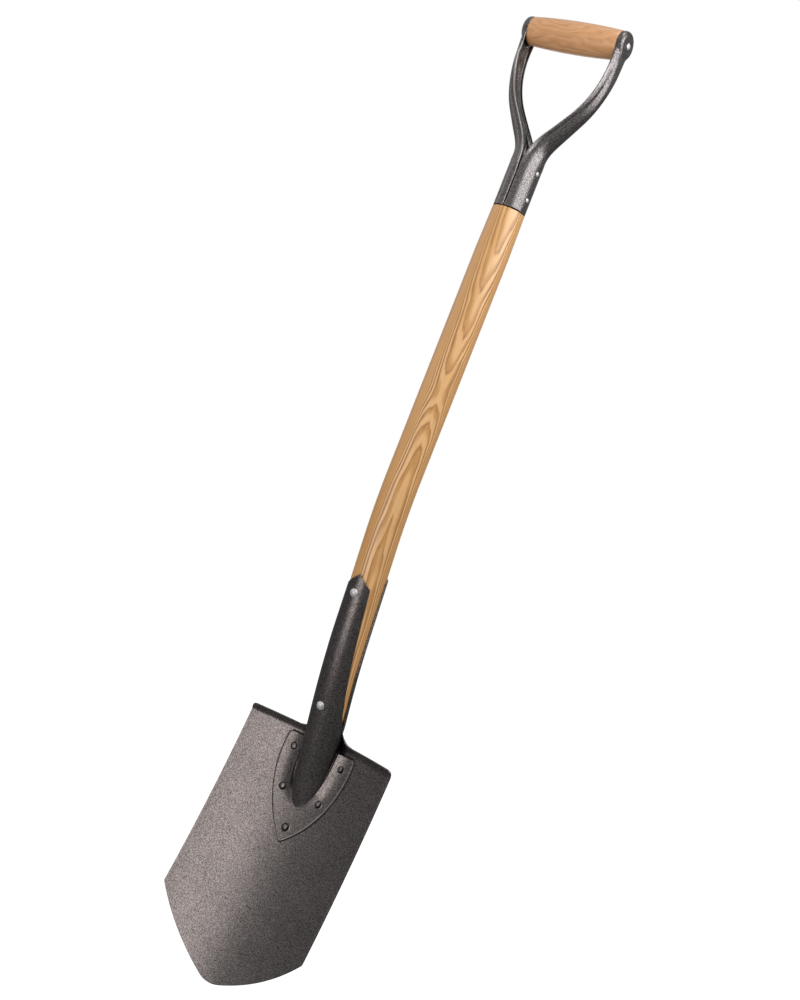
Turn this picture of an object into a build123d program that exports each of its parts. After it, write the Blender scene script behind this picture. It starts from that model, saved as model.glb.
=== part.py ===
import os
from math import asin, cos, degrees, radians, sin, sqrt, tan

from build123d import *

os.makedirs("parts", exist_ok=True)

# Pointed spade: a dished steel blade, an ash shaft with a double bend, and a riveted yoke with a cross grip.
# Frame: origin at the middle of the cross grip, +Z up along the upper shaft, +X along the grip, front at -Y.
# Driving dimensions in millimetres and degrees; a "drop" is measured straight down from the grip's axis.

# Wooden shaft, drawn in at its top so that the yoke's socket lies flush with it
shaft_diameter = 38.0
shaft_mouth_diameter = 36.2
shaft_taper_length = 48.0
shaft_top_drop = 150.0
bend_drop = 543.0
bend_lean = 7.5
bend_radius = 600.0
heel_length = 182.0
heel_lean = 14.5
heel_radius = 800.0
shaft_end_drop = 846.0

# Fits
head_seat = 0.05
wood_fit = 0.15
seat_gap = 0.2
pin_fit = 0.1
paring = 0.05

# Blade: a sheet of revolution about an upright axis in front of it
blade_sheet = 1.6
blade_width = 195.0
tread_width = 191.5
tread_drop = 799.0
tip_drop = 1082.6
corner_drop = 1011.5
edge_bulge = 8.6
tip_round = 32.0
corner_round = 4.0
tread_round = 4.5
dish_radius = 307.0
dish_swing = 25.0
dish_set_back = 53.7
blade_lean = 5.7
blade_bow_radius = 1680.0
tread_bend_radius = 8.0
tread_turn = 38.0
tread_lip = 4.0
neck_fillet = 15.0

# Rear half-socket drawn up from the blade
rear_top_drop = 606.0
rear_point = 12.0
rear_edge_set_back = 3.6
toe_drop = 800.0
toe_turn = 16.0
toe_radius = 90.0

# Front strap and its plate
strap_sheet = 1.5
strap_top_drop = 617.7
strap_point = 12.5
strap_top_width = 29.0
plate_top_drop = 809.6
plate_tip_drop = 921.0
plate_width = 87.6
plate_bulge = 15.0
plate_corner = 3.0
dome_fillet = 4.0

# Yoke
yoke_sheet = 1.6
yoke_lip = 3.4
mouth_drop = 199.0
socket_diameter = 36.0
seam = 0.3
crotch_drop = 129.5
crotch_radius = 60.0
arm_reach = 51.0
shoulder_drop = 60.0
shoulder_radius = 121.0
eye_lean = 3.5
waist_depth = 20.0
waist_height = 12.2
waist_at = 95.0
eye_height = 7.0
eye_seat_drop = 4.0

# Cross grip and its eyes, flush with the ends of the barrel
grip_width = 124.0
grip_visible = 108.0
grip_end_diameter = 30.4
grip_crown_diameter = 34.5
grip_fit = 0.15
eye_round = 4.5

# Rivets and pin
pin_diameter = 5.0
pin_head_diameter = 7.0
pin_head_height = 1.6
yoke_rivet_diameter = 3.5
yoke_rivet_head = 5.0
yoke_rivet_head_height = 1.1
yoke_rivet_drops = (154.5, 184.7)
yoke_rivet_turn = 8.0
strap_rivet_diameter = 5.5
strap_rivet_head = 9.0
strap_rivet_head_height = 3.0
strap_rivet_drops = (636.0, 760.4)
plate_rivet_diameter = 5.0
plate_rivet_head = 8.4
plate_rivet_head_height = 2.2
plate_rivet_tail_height = 1.2
plate_rivet_places = ((32.3, 824.1), (24.8, 867.6), (0.0, 905.4))

# Values that follow from the driving dimensions
shaft_radius = shaft_diameter / 2
bore_radius = shaft_radius + wood_fit
strap_radius = bore_radius + strap_sheet
rear_radius = bore_radius + blade_sheet
socket_radius = socket_diameter / 2
tenon_radius = socket_radius - yoke_sheet - wood_fit
half_width = blade_width / 2
tread_half = tread_width / 2


# Direction in the side view (Y, Z), pointing down and leaning back by an angle
def down(lean):
    return Vector(sin(radians(lean)), -cos(radians(lean)))


# Centre line of the shaft in the side view: upper run, bend, heel, lower run
bend = Vector(0, -bend_drop)
heel = bend + down(bend_lean) * heel_length


# Point of the lower run at a drop below the grip's axis
def on_lower_run(drop):
    return heel + down(heel_lean) * ((drop + heel.Y) / cos(radians(heel_lean)))


# Point of the run between the bends at a drop below the grip's axis
def on_middle_run(drop):
    return bend + down(bend_lean) * ((drop + bend.Y) / cos(radians(bend_lean)))


toe = on_lower_run(toe_drop)
toe_end = toe + down(-toe_turn) * (2 * toe_drop - 2 * rear_top_drop)
strap_start = on_middle_run(rear_top_drop - rear_point)
strap_end = on_lower_run(plate_tip_drop)


# Bar along straight runs joined by tangent arcs, with straight sides reaching back by a depth
def bar(radius, corners, radii, depth=0.0):
    with BuildPart() as made:
        with BuildLine(Plane.YZ) as route:
            FilletPolyline(*[(corner.X, corner.Y) for corner in corners], radius=radii)
        with BuildSketch(Plane(route.wire() @ 0, x_dir=(1, 0, 0), z_dir=route.wire() % 0)):
            Circle(radius)
            if depth > 0:
                with Locations((0, -depth / 2)):
                    Rectangle(2 * radius, depth)
        sweep(path=route.wire())
    return made.part


# Plane across a route at a drop below the grip's axis, its z axis pointing out at the front
def route_place(corners, radii, drop):
    with BuildLine(Plane.YZ) as route:
        FilletPolyline(*[(corner.X, corner.Y) for corner in corners], radius=radii)
    wire = route.wire()
    low, high = 0.0, 1.0
    for halving in range(40):
        middle = (low + high) / 2
        if (wire @ middle).Z > -drop:
            low = middle
        else:
            high = middle
    way = wire % low
    return Plane(wire @ low, x_dir=(1, 0, 0), z_dir=(0, way.Z, -way.Y))


# Front-view outline carried through the part from front to back
def front_prism(outline):
    with BuildPart() as made:
        with BuildSketch(Plane.XZ):
            make_face(outline)
        extrude(amount=2 * dish_radius, both=True)
    return made.part


# Side-view polygon carried across the part
def side_prism(points):
    with BuildPart() as made:
        with BuildSketch(Plane.YZ):
            Polygon(*points, align=None)
        extrude(amount=blade_width, both=True)
    return made.part


# The dish is drawn in a plane through its upright axis, at one end of its swing
dish_centre = dish_set_back - dish_radius
dish_axis = Axis((0, dish_centre, 0), (0, 0, 1))
dish_plane = Plane(
    origin=(0, dish_centre, 0),
    x_dir=Vector(0, 1, 0).rotate(Axis.Z, -dish_swing),
    z_dir=Vector(1, 0, 0).rotate(Axis.Z, -dish_swing),
)
tread_bend_rise = tread_bend_radius * (sin(radians(blade_lean)) + sin(radians(tread_turn - blade_lean)))
tread_start_drop = tread_drop + tread_bend_rise + tread_lip * cos(radians(tread_turn - blade_lean))
blade_arc = degrees((tip_drop - tread_drop) * 1.1 / blade_bow_radius)
web_length = tread_lip + neck_fillet / cos(radians(tread_turn - blade_lean))


# Side-view line of the blade's face, moved towards the front by an offset: bow, tread bend, lip
def face_line(offset_front, lip_length):
    start_x = dish_radius - offset_front * cos(radians(blade_lean))
    start_z = -tread_start_drop + offset_front * sin(radians(blade_lean))
    heading = 90 - blade_lean
    bow = JernArc(
        (start_x, start_z),
        (-cos(radians(heading)), -sin(radians(heading))),
        blade_bow_radius - offset_front,
        -blade_arc,
    )
    turn = JernArc(
        (start_x, start_z),
        (cos(radians(heading)), sin(radians(heading))),
        tread_bend_radius - offset_front,
        tread_turn,
    )
    lip = PolarLine(turn @ 1, lip_length, heading + tread_turn)
    return bow @ 1, lip @ 1


# Dished layer between two offsets in front of the blade's face (negative is behind it)
def dished(front, back, lip_length=web_length):
    with BuildPart() as made:
        with BuildSketch(dish_plane):
            with BuildLine():
                front_low, front_high = face_line(front, lip_length)
                back_low, back_high = face_line(back, lip_length)
                Line(front_low, back_low)
                Line(front_high, back_high)
            make_face()
        revolve(axis=dish_axis, revolution_arc=2 * dish_swing)
    return made.part



# Outline of the blade seen from the front: tip, lower edges, sides, treads, neck
def blade_outline():
    corner = Vector(half_width, -corner_drop)
    tip = Vector(0, -tip_drop)
    across = (tip - corner).rotate(Axis.Z, 90).normalized()
    bulge = (corner + tip) / 2 + across * edge_bulge
    tread_z = -tread_drop
    neck = rear_radius
    top_z = tread_z + neck_fillet + rear_radius
    with BuildLine() as half:
        lower = ThreePointArc(tip, bulge, corner)
        side = Line(corner, (tread_half, tread_z))
        tread = Line(side @ 1, (neck, tread_z))
        wall = Line(tread @ 1, (neck, top_z))
        Line(wall @ 1, (0, top_z))
    return half.edges()


# Half outline, mirrored to the full front view and rounded at its listed corners
def full_outline(half, rounds):
    with BuildSketch() as whole:
        with BuildLine():
            add(half)
            mirror(about=Plane.YZ)
        make_face()
        for place, radius in rounds:
            corners = whole.vertices().filter_by(lambda corner: abs(abs(corner.X) - place[0]) < paring)
            fillet(corners.filter_by(lambda corner: abs(corner.Y - place[1]) < paring), radius)
    return whole.face().outer_wire()



# Spherical-headed rivet along Z: shank from 0 up to its grip, a head above it and a tail below
def rivet(diameter, grip, head, head_height, tail, tail_height):
    with BuildPart() as made:
        with BuildSketch(Plane.XZ):
            with BuildLine():
                Polyline((0, grip + head_height), (0, -tail_height))
                bottom = TangentArc((0, -tail_height), (tail / 2, 0), tangent=(1, 0))
                Polyline(bottom @ 1, (diameter / 2, 0), (diameter / 2, grip), (head / 2, grip))
                TangentArc((0, grip + head_height), (head / 2, grip), tangent=(1, 0))
            make_face()
        revolve(axis=Axis.Z)
    return made.part


# Place and outward direction on the blade's face, by distance from the middle and drop
def face_place(across, drop):
    centre_x = dish_radius - blade_bow_radius * cos(radians(blade_lean))
    centre_z = -tread_start_drop + blade_bow_radius * sin(radians(blade_lean))
    fall = centre_z + drop
    reach = sqrt(blade_bow_radius**2 - fall**2)
    radius = centre_x + reach
    swing = asin(across / radius)
    place = Vector(across, dish_centre + radius * cos(swing), -drop)
    outward = Vector(-reach * sin(swing), -reach * cos(swing), fall)
    return Plane(place, z_dir=outward)


# Half-round channel section across the yoke's arm: rounded lips on the x axis, back of the channel along y
def channel(depth, height, lip_sheet):
    lip = lip_sheet / 2
    side = depth / 2
    with BuildLine() as section:
        EllipticalCenterArc((0, lip), side, height - lip, arc_size=180)
        EllipticalCenterArc((0, lip), side - lip_sheet, height - lip - yoke_sheet, arc_size=180)
        ThreePointArc((side - lip_sheet, lip), (side - lip, 0), (side, lip))
        ThreePointArc((lip_sheet - side, lip), (lip - side, 0), (-side, lip))
    return section.edges()


# Seam between the two half-sockets in the side view: along the web, then behind the shaft's axis
web_heading = radians(90 - blade_lean + tread_turn)
lip_heading = radians(90 - blade_lean)
bend_end = Vector(
    dish_set_back + tread_bend_radius * (sin(web_heading) - sin(lip_heading)),
    -tread_start_drop + tread_bend_radius * (cos(lip_heading) - cos(web_heading)),
)
web_top = bend_end + Vector(cos(web_heading), sin(web_heading)) * web_length
seam_top = strap_start + Vector(rear_edge_set_back, 0)
behind = Vector(4 * rear_radius, 0)
seam_middle = heel + Vector(rear_edge_set_back / 2, 0)
rear_points = (web_top, seam_middle, seam_top, seam_top + behind, web_top + behind)
front_shift = Vector(-seat_gap, -seat_gap)

front_route = (strap_start, heel, strap_end)
rear_route = (strap_start, heel, toe, toe_end)
rear_radii = (heel_radius, toe_radius)
deep = 5 * rear_radius

# Rear half-socket: the shell behind the seam, pointed at its top
rear_bar = bar(rear_radius, rear_route, rear_radii)
rear_core = bar(bore_radius, rear_route, rear_radii)
behind_face = dished(0, -deep)
behind_seam = side_prism(rear_points)
with BuildLine() as rear_half:
    Polyline(
        (0, -tip_drop),
        (2 * rear_radius, -tip_drop),
        (2 * rear_radius, -rear_top_drop - rear_point),
        (rear_radius, -rear_top_drop - rear_point),
        (0, -rear_top_drop),
    )
rear_prism = front_prism(full_outline(rear_half.edges(), (((0, -rear_top_drop), 2 * rear_point),)))
with BuildPart() as rear_shell:
    add(behind_face)
    add(behind_seam)
    add(rear_bar, mode=Mode.INTERSECT)
    add(rear_prism, mode=Mode.INTERSECT)

blade_layer = dished(0, -blade_sheet)
blade_edge = front_prism(
    full_outline(
        blade_outline(),
        (
            ((tread_half, -tread_drop), tread_round),
            ((half_width, -corner_drop), corner_round),
            ((0, -tip_drop), tip_round),
            ((rear_radius, -tread_drop), neck_fillet),
        ),
    )
)

# Planes of the rivets: origin on the shaft's axis or on the blade's face, z along the rivet towards its head
strap_planes = [route_place(front_route, (heel_radius,), drop) for drop in strap_rivet_drops]
yoke_way = Vector(1, 0, 0).rotate(Axis.Z, -yoke_rivet_turn)
yoke_planes = [Plane((0, 0, -drop), z_dir=yoke_way) for drop in yoke_rivet_drops]
plate_planes = [
    face_place(side * across, drop)
    for across, drop in plate_rivet_places
    for side in ((1, -1) if across > 0 else (1,))
]


# Straight holes along the planes' z axes, to be cut out of a piece
def holes(planes, diameter, reach):
    with BuildPart() as made:
        with BuildSketch(*planes):
            Circle(diameter / 2 + pin_fit)
        extrude(amount=reach, both=True)
    return made.part


strap_holes = holes(strap_planes, strap_rivet_diameter, 2 * strap_radius)
yoke_holes = holes(yoke_planes, yoke_rivet_diameter, 2 * socket_radius)
plate_holes = holes(plate_planes, plate_rivet_diameter, 5 * plate_rivet_diameter)
pin_hole = holes([Plane.YZ], pin_diameter, grip_width)

with BuildPart() as blade:
    add(blade_layer)
    add(blade_edge, mode=Mode.INTERSECT)
    add(rear_shell.part)
    add(rear_core, mode=Mode.SUBTRACT)
    add(strap_holes, mode=Mode.SUBTRACT)
    add(plate_holes, mode=Mode.SUBTRACT)
blade.part.label = "blade"
export_step(blade.part, "parts/blade.step")

# Front strap: tapered half-tube with a pointed top, running out as a dome on the plate
with BuildLine() as strap_half:
    Polyline(
        (0, -tip_drop),
        (strap_radius + strap_sheet, -tip_drop),
        (strap_radius + strap_sheet, web_top.Y),
        (strap_radius, web_top.Y),
        (strap_top_width / 2, -strap_top_drop - strap_point),
        (0, -strap_top_drop),
    )
strap_prism = front_prism(full_outline(strap_half.edges(), (((0, -strap_top_drop), strap_sheet),)))
strap_bar = bar(strap_radius, front_route, (heel_radius,), deep / 2)
strap_core = bar(bore_radius, front_route, (heel_radius,), deep / 2)
behind_plate = dished(seat_gap, -deep, web_length + strap_sheet)
behind_strap = side_prism([point + front_shift for point in rear_points])

plate_corner_at = Vector(plate_width / 2, -plate_top_drop)
plate_tip = Vector(0, -plate_tip_drop)
plate_way = (plate_tip - plate_corner_at).rotate(Axis.Z, 90).normalized()
with BuildLine() as plate_half:
    Line((0, -plate_top_drop), plate_corner_at)
    ThreePointArc(plate_corner_at, (plate_corner_at + plate_tip) / 2 + plate_way * plate_bulge, plate_tip)
plate_rounds = (((plate_width / 2, -plate_top_drop), plate_corner), ((0, -plate_tip_drop), plate_corner))
plate_prism = front_prism(full_outline(plate_half.edges(), plate_rounds))
plate_layer = dished(seat_gap + strap_sheet, seat_gap)
with BuildPart() as plate_sheet:
    add(plate_layer)
    add(plate_prism, mode=Mode.INTERSECT)

with BuildPart() as front_strap:
    add(strap_bar)
    add(strap_prism, mode=Mode.INTERSECT)
    add(behind_strap, mode=Mode.SUBTRACT)
    add(behind_plate, mode=Mode.SUBTRACT)
    add(plate_sheet.part)
    flat = face_place(plate_width * 0.4, plate_top_drop + 2 * dome_fillet).offset(seat_gap + strap_sheet)
    plate_face = front_strap.faces().sort_by_distance(flat.origin)[0]
    beside_dome = plate_face.edges().filter_by(lambda edge: abs(edge.center().X) < strap_radius + paring)
    above_tip = beside_dome.filter_by(lambda edge: edge.center().Z > 4 * plate_corner - plate_tip_drop)
    fillet(above_tip, dome_fillet)
    add(strap_core, mode=Mode.SUBTRACT)
    add(strap_holes, mode=Mode.SUBTRACT)
    add(plate_holes, mode=Mode.SUBTRACT)
front_strap.part.label = "front_strap"
export_step(front_strap.part, "parts/front_strap.step")

# Bent shaft, pared at its lower end to the trough behind it
shaft_foot = on_lower_run(shaft_end_drop)
pared = bar(shaft_radius + paring, rear_route, rear_radii)
with BuildPart() as paring_waste:
    with BuildSketch(Plane.YZ):
        Polygon(
            on_lower_run(toe_drop - neck_fillet - rear_radius) + behind,
            on_lower_run(toe_drop - neck_fillet - rear_radius) - behind,
            shaft_foot - behind,
            shaft_foot - behind + down(0) * rear_radius,
            shaft_foot + behind + down(0) * rear_radius,
            align=None,
        )
    extrude(amount=2 * rear_radius, both=True)
    add(pared, mode=Mode.SUBTRACT)

with BuildPart() as shaft:
    with BuildSketch(Plane.XZ):
        with BuildLine():
            Polyline(
                (0, -shaft_top_drop),
                (tenon_radius, -shaft_top_drop),
                (tenon_radius, -mouth_drop - seat_gap),
                (shaft_mouth_diameter / 2, -mouth_drop - seat_gap),
                (shaft_radius, -mouth_drop - shaft_taper_length),
                (0, -mouth_drop - shaft_taper_length),
                close=True,
            )
        make_face()
    revolve(axis=Axis.Z)
    with BuildLine(Plane.YZ) as shaft_line:
        FilletPolyline(
            (0, -mouth_drop - shaft_taper_length),
            (bend.X, bend.Y),
            (heel.X, heel.Y),
            (shaft_foot.X, shaft_foot.Y),
            radius=(bend_radius, heel_radius),
        )
    with BuildSketch(Plane((0, 0, -mouth_drop - shaft_taper_length), z_dir=(0, 0, -1))):
        Circle(shaft_radius)
    sweep(path=shaft_line.wire())
    add(paring_waste.part, mode=Mode.SUBTRACT)
    add(strap_holes, mode=Mode.SUBTRACT)
    add(yoke_holes, mode=Mode.SUBTRACT)
shaft.part.label = "shaft"
export_step(shaft.part, "parts/shaft.step")

# Yoke: one half-shell lofted along its arm, then its mirror twin
eye_radius = grip_end_diameter / 2
tenon_grip_radius = eye_radius - yoke_sheet - grip_fit
eye_depth = (grip_width - grip_visible) / 2
with BuildLine(Plane.XZ) as arm_line:
    FilletPolyline(
        (seam / 2, -mouth_drop),
        (seam / 2, -crotch_drop),
        (arm_reach, -shoulder_drop),
        (arm_reach + (shoulder_drop - eye_seat_drop) * tan(radians(eye_lean)), -eye_seat_drop),
        radius=(crotch_radius, shoulder_radius),
    )
arm_wire = arm_line.wire()
socket_length = arm_line.edges().sort_by(Axis.Z)[0].length
arm_length = arm_wire.length - socket_length
arm_steps = 10


# Depth, height and lip of the channel at a length along the arm: socket, waist, eye
def arm_section(length):
    to_waist = min(1.0, length / waist_at)
    to_eye = max(0.0, (length - waist_at) / (arm_length - waist_at))
    depth = waist_depth + (socket_diameter - waist_depth) * (1 - to_waist) ** 2
    depth = depth + (2 * eye_radius - yoke_sheet - waist_depth) * to_eye**1.5
    height = waist_height + (socket_radius - seam / 2 - waist_height) * (1 - to_waist)
    lip_sheet = yoke_sheet + (yoke_lip - yoke_sheet) * to_waist * (2 - to_waist)
    return depth, height + (eye_height - waist_height) * to_eye, lip_sheet


with BuildPart() as arm_shell:
    for step in range(arm_steps + 1):
        at = arm_length * step / arm_steps
        share = (socket_length + at) / (socket_length + arm_length)
        with BuildSketch(Plane(arm_wire @ share, x_dir=(0, -1, 0), z_dir=arm_wire % share)):
            make_face(channel(*arm_section(at)))
    loft()
    with BuildSketch(Plane((seam / 2, 0, -mouth_drop), x_dir=(0, -1, 0), z_dir=(0, 0, 1))):
        make_face(channel(2 * socket_radius, socket_radius - seam / 2, yoke_sheet))
    extrude(amount=socket_length)

with BuildPart() as eye_cup:
    with BuildSketch(Plane.YZ.offset(grip_visible / 2)):
        Circle(eye_radius)
    extrude(amount=eye_depth)
    fillet(eye_cup.edges().filter_by(GeomType.CIRCLE).sort_by(Axis.X)[-1], eye_round)

with BuildPart() as eye_bore:
    with BuildSketch(Plane.YZ):
        Circle(eye_radius - yoke_sheet)
    extrude(amount=grip_width / 2 - yoke_sheet)
    fillet(eye_bore.edges().filter_by(GeomType.CIRCLE).sort_by(Axis.X)[-1], eye_round - yoke_sheet)

with BuildPart() as right_yoke_arm:
    add(arm_shell.part)
    add(eye_cup.part)
    add(eye_bore.part, mode=Mode.SUBTRACT)
    add(pin_hole, mode=Mode.SUBTRACT)
    add(yoke_holes, mode=Mode.SUBTRACT)
right_yoke_arm.part.label = "right_yoke_arm"
export_step(right_yoke_arm.part, "parts/right_yoke_arm.step")

with BuildPart() as left_yoke_arm:
    mirror(arm_shell.part, about=Plane.YZ)
    mirror(eye_cup.part, about=Plane.YZ)
    mirror(eye_bore.part, about=Plane.YZ, mode=Mode.SUBTRACT)
    add(pin_hole, mode=Mode.SUBTRACT)
    add(yoke_holes, mode=Mode.SUBTRACT)
left_yoke_arm.part.label = "left_yoke_arm"
export_step(left_yoke_arm.part, "parts/left_yoke_arm.step")

# Cross grip: crowned barrel with turned-down ends seated in the eyes
grip_end = grip_width / 2 - yoke_sheet - grip_fit
grip_shoulder = grip_visible / 2 - grip_fit
with BuildPart() as cross_grip:
    with BuildSketch(Plane.XZ):
        with BuildLine():
            Polyline(
                (-grip_shoulder, eye_radius),
                (-grip_shoulder, tenon_grip_radius),
                (-grip_end, tenon_grip_radius),
                (-grip_end, 0),
                (grip_end, 0),
                (grip_end, tenon_grip_radius),
                (grip_shoulder, tenon_grip_radius),
                (grip_shoulder, eye_radius),
            )
            ThreePointArc(
                (-grip_shoulder, eye_radius),
                (0, grip_crown_diameter / 2),
                (grip_shoulder, eye_radius),
            )
        make_face()
    revolve(axis=Axis.X)
    grip_ends = cross_grip.edges().filter_by(GeomType.CIRCLE).sort_by(Axis.X)
    fillet((grip_ends[0], grip_ends[-1]), eye_round - yoke_sheet)
    add(pin_hole, mode=Mode.SUBTRACT)
cross_grip.part.label = "cross_grip"
export_step(cross_grip.part, "parts/cross_grip.step")

# Through pin of the grip, with a low domed head at each end
pin_body = rivet(
    pin_diameter, grip_width + 2 * head_seat,
    pin_head_diameter, pin_head_height,
    pin_head_diameter, pin_head_height,
)
with BuildPart() as grip_pin:
    with Locations(Plane.YZ.offset(-grip_width / 2 - head_seat)):
        add(pin_body)
grip_pin.part.label = "grip_pin"
export_step(grip_pin.part, "parts/grip_pin.step")

# Two rivets through the yoke's socket
yoke_body = rivet(
    yoke_rivet_diameter, 2 * (socket_radius + head_seat),
    yoke_rivet_head, yoke_rivet_head_height,
    yoke_rivet_head, yoke_rivet_head_height,
)
with BuildPart() as yoke_rivets:
    with Locations([plane.offset(-socket_radius - head_seat) for plane in yoke_planes]):
        add(yoke_body)
yoke_rivets.part.label = "yoke_rivets"
export_step(yoke_rivets.part, "parts/yoke_rivets.step")

# Rivets through the front strap, the shaft and the rear half-socket
strap_body = rivet(
    strap_rivet_diameter, strap_radius + rear_radius + 2 * head_seat,
    strap_rivet_head, strap_rivet_head_height,
    strap_rivet_head, strap_rivet_head_height,
)
with BuildPart() as strap_rivet_upper:
    with Locations(strap_planes[0].offset(-rear_radius - head_seat)):
        add(strap_body)
strap_rivet_upper.part.label = "strap_rivet_upper"
export_step(strap_rivet_upper.part, "parts/strap_rivet_upper.step")

with BuildPart() as strap_rivet_lower:
    with Locations(strap_planes[1].offset(-rear_radius - head_seat)):
        add(strap_body)
strap_rivet_lower.part.label = "strap_rivet_lower"
export_step(strap_rivet_lower.part, "parts/strap_rivet_lower.step")

# Five short rivets through the plate and the blade
plate_grip = blade_sheet + seat_gap + strap_sheet
plate_body = rivet(
    plate_rivet_diameter, plate_grip + 2 * paring,
    plate_rivet_head, plate_rivet_head_height,
    plate_rivet_head, plate_rivet_tail_height,
)
with BuildPart() as plate_rivets:
    with Locations([plane.offset(-blade_sheet - paring) for plane in plate_planes]):
        add(plate_body)
plate_rivets.part.label = "plate_rivets"
export_step(plate_rivets.part, "parts/plate_rivets.step")
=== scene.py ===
from math import asin, atan2, copysign, cos, pi, radians, sin, sqrt, tan

import bpy
import numpy as np
from mathutils import Matrix, Vector


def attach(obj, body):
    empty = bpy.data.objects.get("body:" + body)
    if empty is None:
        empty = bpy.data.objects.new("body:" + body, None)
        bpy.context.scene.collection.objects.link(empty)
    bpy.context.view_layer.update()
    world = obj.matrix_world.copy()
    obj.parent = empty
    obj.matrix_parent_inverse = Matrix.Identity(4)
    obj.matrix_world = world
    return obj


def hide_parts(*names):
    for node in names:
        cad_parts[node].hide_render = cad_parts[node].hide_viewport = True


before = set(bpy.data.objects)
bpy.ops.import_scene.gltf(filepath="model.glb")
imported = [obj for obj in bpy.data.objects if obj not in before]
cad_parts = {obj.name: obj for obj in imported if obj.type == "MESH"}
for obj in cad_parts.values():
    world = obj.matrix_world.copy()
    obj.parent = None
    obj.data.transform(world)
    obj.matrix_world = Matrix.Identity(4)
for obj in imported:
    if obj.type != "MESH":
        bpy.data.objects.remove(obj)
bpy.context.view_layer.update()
scene = bpy.context.scene
scene.view_settings.view_transform = "Standard"
mm = 0.001

# Pieces and camera are sized in millimetres and degrees, and a drop is measured down from the grip's axis.
# Looks, floor and lights are in metres.


def down(lean):
    return np.array((sin(radians(lean)), -cos(radians(lean))))


def onRun(start, lean, drop):
    # the point at a drop on a straight run
    return start + down(lean) * ((drop + start[1]) / cos(radians(lean)))


def roundedRoute(corners, radii, step=1.5):
    # line of straight runs joined by tangent arcs, as (sideways, z) points
    corners = [np.array(corner, float) for corner in corners]
    points = [corners[0]]
    for before, corner, after, radius in zip(corners, corners[1:], corners[2:], radii):
        inWay = (corner - before) / np.linalg.norm(corner - before)
        outWay = (after - corner) / np.linalg.norm(after - corner)
        turn = atan2(inWay[0] * outWay[1] - inWay[1] * outWay[0], inWay @ outWay)
        side = np.array((-inWay[1], inWay[0])) * copysign(1, turn)
        start = corner - inWay * radius * tan(abs(turn) / 2)
        count = max(4, int(radius * abs(turn) / step))
        for angle in abs(turn) * np.linspace(0, 1, count + 1):
            points.append(start + inWay * radius * sin(angle) + side * radius * (1 - cos(angle)))
    points.append(corners[-1])
    return np.array(points)


def routeAt(route, z):
    # place and slope of a route at heights z
    across, heights = route[np.argsort(route[:, 1])].T
    slope = np.interp(z + 0.5, heights, across) - np.interp(z - 0.5, heights, across)
    return np.interp(z, heights, across), slope


def crossing(route, z):
    # place of a route at one height, and how far a level cut through a tube along it is stretched
    y, slope = routeAt(route, z)
    return y, sqrt(1 + slope**2)


def smoothStep(share):
    return share * share * (3 - 2 * share)


def smoothMax(a, b, reach):
    near = np.maximum(1 - np.abs(a - b) / reach, 0)
    return np.maximum(a, b) + reach / 4 * near**2


def hump(value, middle, width):
    return np.exp(-(((value - middle) / width) ** 2))


def addObject(name, data):
    made = bpy.data.objects.new(name, data)
    scene.collection.objects.link(made)
    return made


def plainMesh(name, points, faces, material):
    mesh = bpy.data.meshes.new(name)
    corners = [tuple(int(i) for i in face) for face in faces]
    mesh.from_pydata([tuple(point) for point in np.asarray(points) * mm], [], corners)
    mesh.validate()
    mesh.update()
    mesh.materials.append(material)
    mesh.shade_smooth()
    return addObject(name, mesh)


def flatten(piece):
    # what the modifiers give becomes the piece's own mesh
    depsgraph = bpy.context.evaluated_depsgraph_get()
    baked = bpy.data.meshes.new_from_object(piece.evaluated_get(depsgraph))
    baked.name = piece.name
    piece.modifiers.clear()
    piece.data = baked
    return piece


def readSpots(piece):
    spots = np.empty(len(piece.data.vertices) * 3, np.float32)
    piece.data.vertices.foreach_get("co", spots)
    return spots.reshape(-1, 3)


def moveSpots(piece, spots):
    piece.data.vertices.foreach_set("co", spots.ravel())
    piece.data.update()


def storeValues(piece, name, values):
    made = piece.data.attributes.new(name, "FLOAT", "POINT")
    made.data.foreach_set("value", values.astype(np.float32))


def shadeSmooth(piece, sharpAngle):
    piece.data.shade_smooth()
    piece.data.set_sharp_from_angle(angle=radians(sharpAngle))
    return piece


def bothSides(xs, ys, z):
    # a row of points across a sheet from its right half, with a column number for each
    last = len(xs) - 1
    row = [(-i, (-xs[i], ys[i], z)) for i in range(last, 0, -1)]
    return row + [(i, (xs[i], ys[i], z)) for i in range(last + 1)]


def sheetFromGrid(rows, thickness):
    # neighbours in rows and columns make the front, then the sheet's back and its edges are added
    points, known, index, faces = [], {}, [], []
    for row in rows:
        columns = {}
        for column, point in row:
            spot = tuple(round(float(c), 3) for c in point)
            if spot not in known:
                known[spot] = len(points)
                points.append(point)
            columns[column] = known[spot]
        index.append(columns)
    for upper, lower in zip(index, index[1:]):
        shared = sorted(set(upper) & set(lower))
        for left, right in zip(shared, shared[1:]):
            if right - left == 1:
                corners = tuple(dict.fromkeys((upper[left], lower[left], lower[right], upper[right])))
                if len(corners) > 2:
                    faces.append(corners)
    points = np.array(points, float)
    four = np.array([face if len(face) == 4 else face + face[-1:] for face in faces])
    across = np.cross(points[four[:, 2]] - points[four[:, 0]], points[four[:, 3]] - points[four[:, 1]])
    normals = np.zeros_like(points)
    for face, way in zip(faces, across):
        for corner in face:
            normals[corner] += way
    normals /= np.maximum(np.linalg.norm(normals, axis=1), 1e-12)[:, None]
    count = len(points)
    made = faces + [tuple(corner + count for corner in face[::-1]) for face in faces]
    edges = {(a, b) for face in faces for a, b in zip(face, face[1:] + face[:1])}
    for a, b in edges:
        if (b, a) not in edges:
            made.append((b, a, a + count, b + count))
    return np.vstack([points, points - normals * thickness]), made


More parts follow.
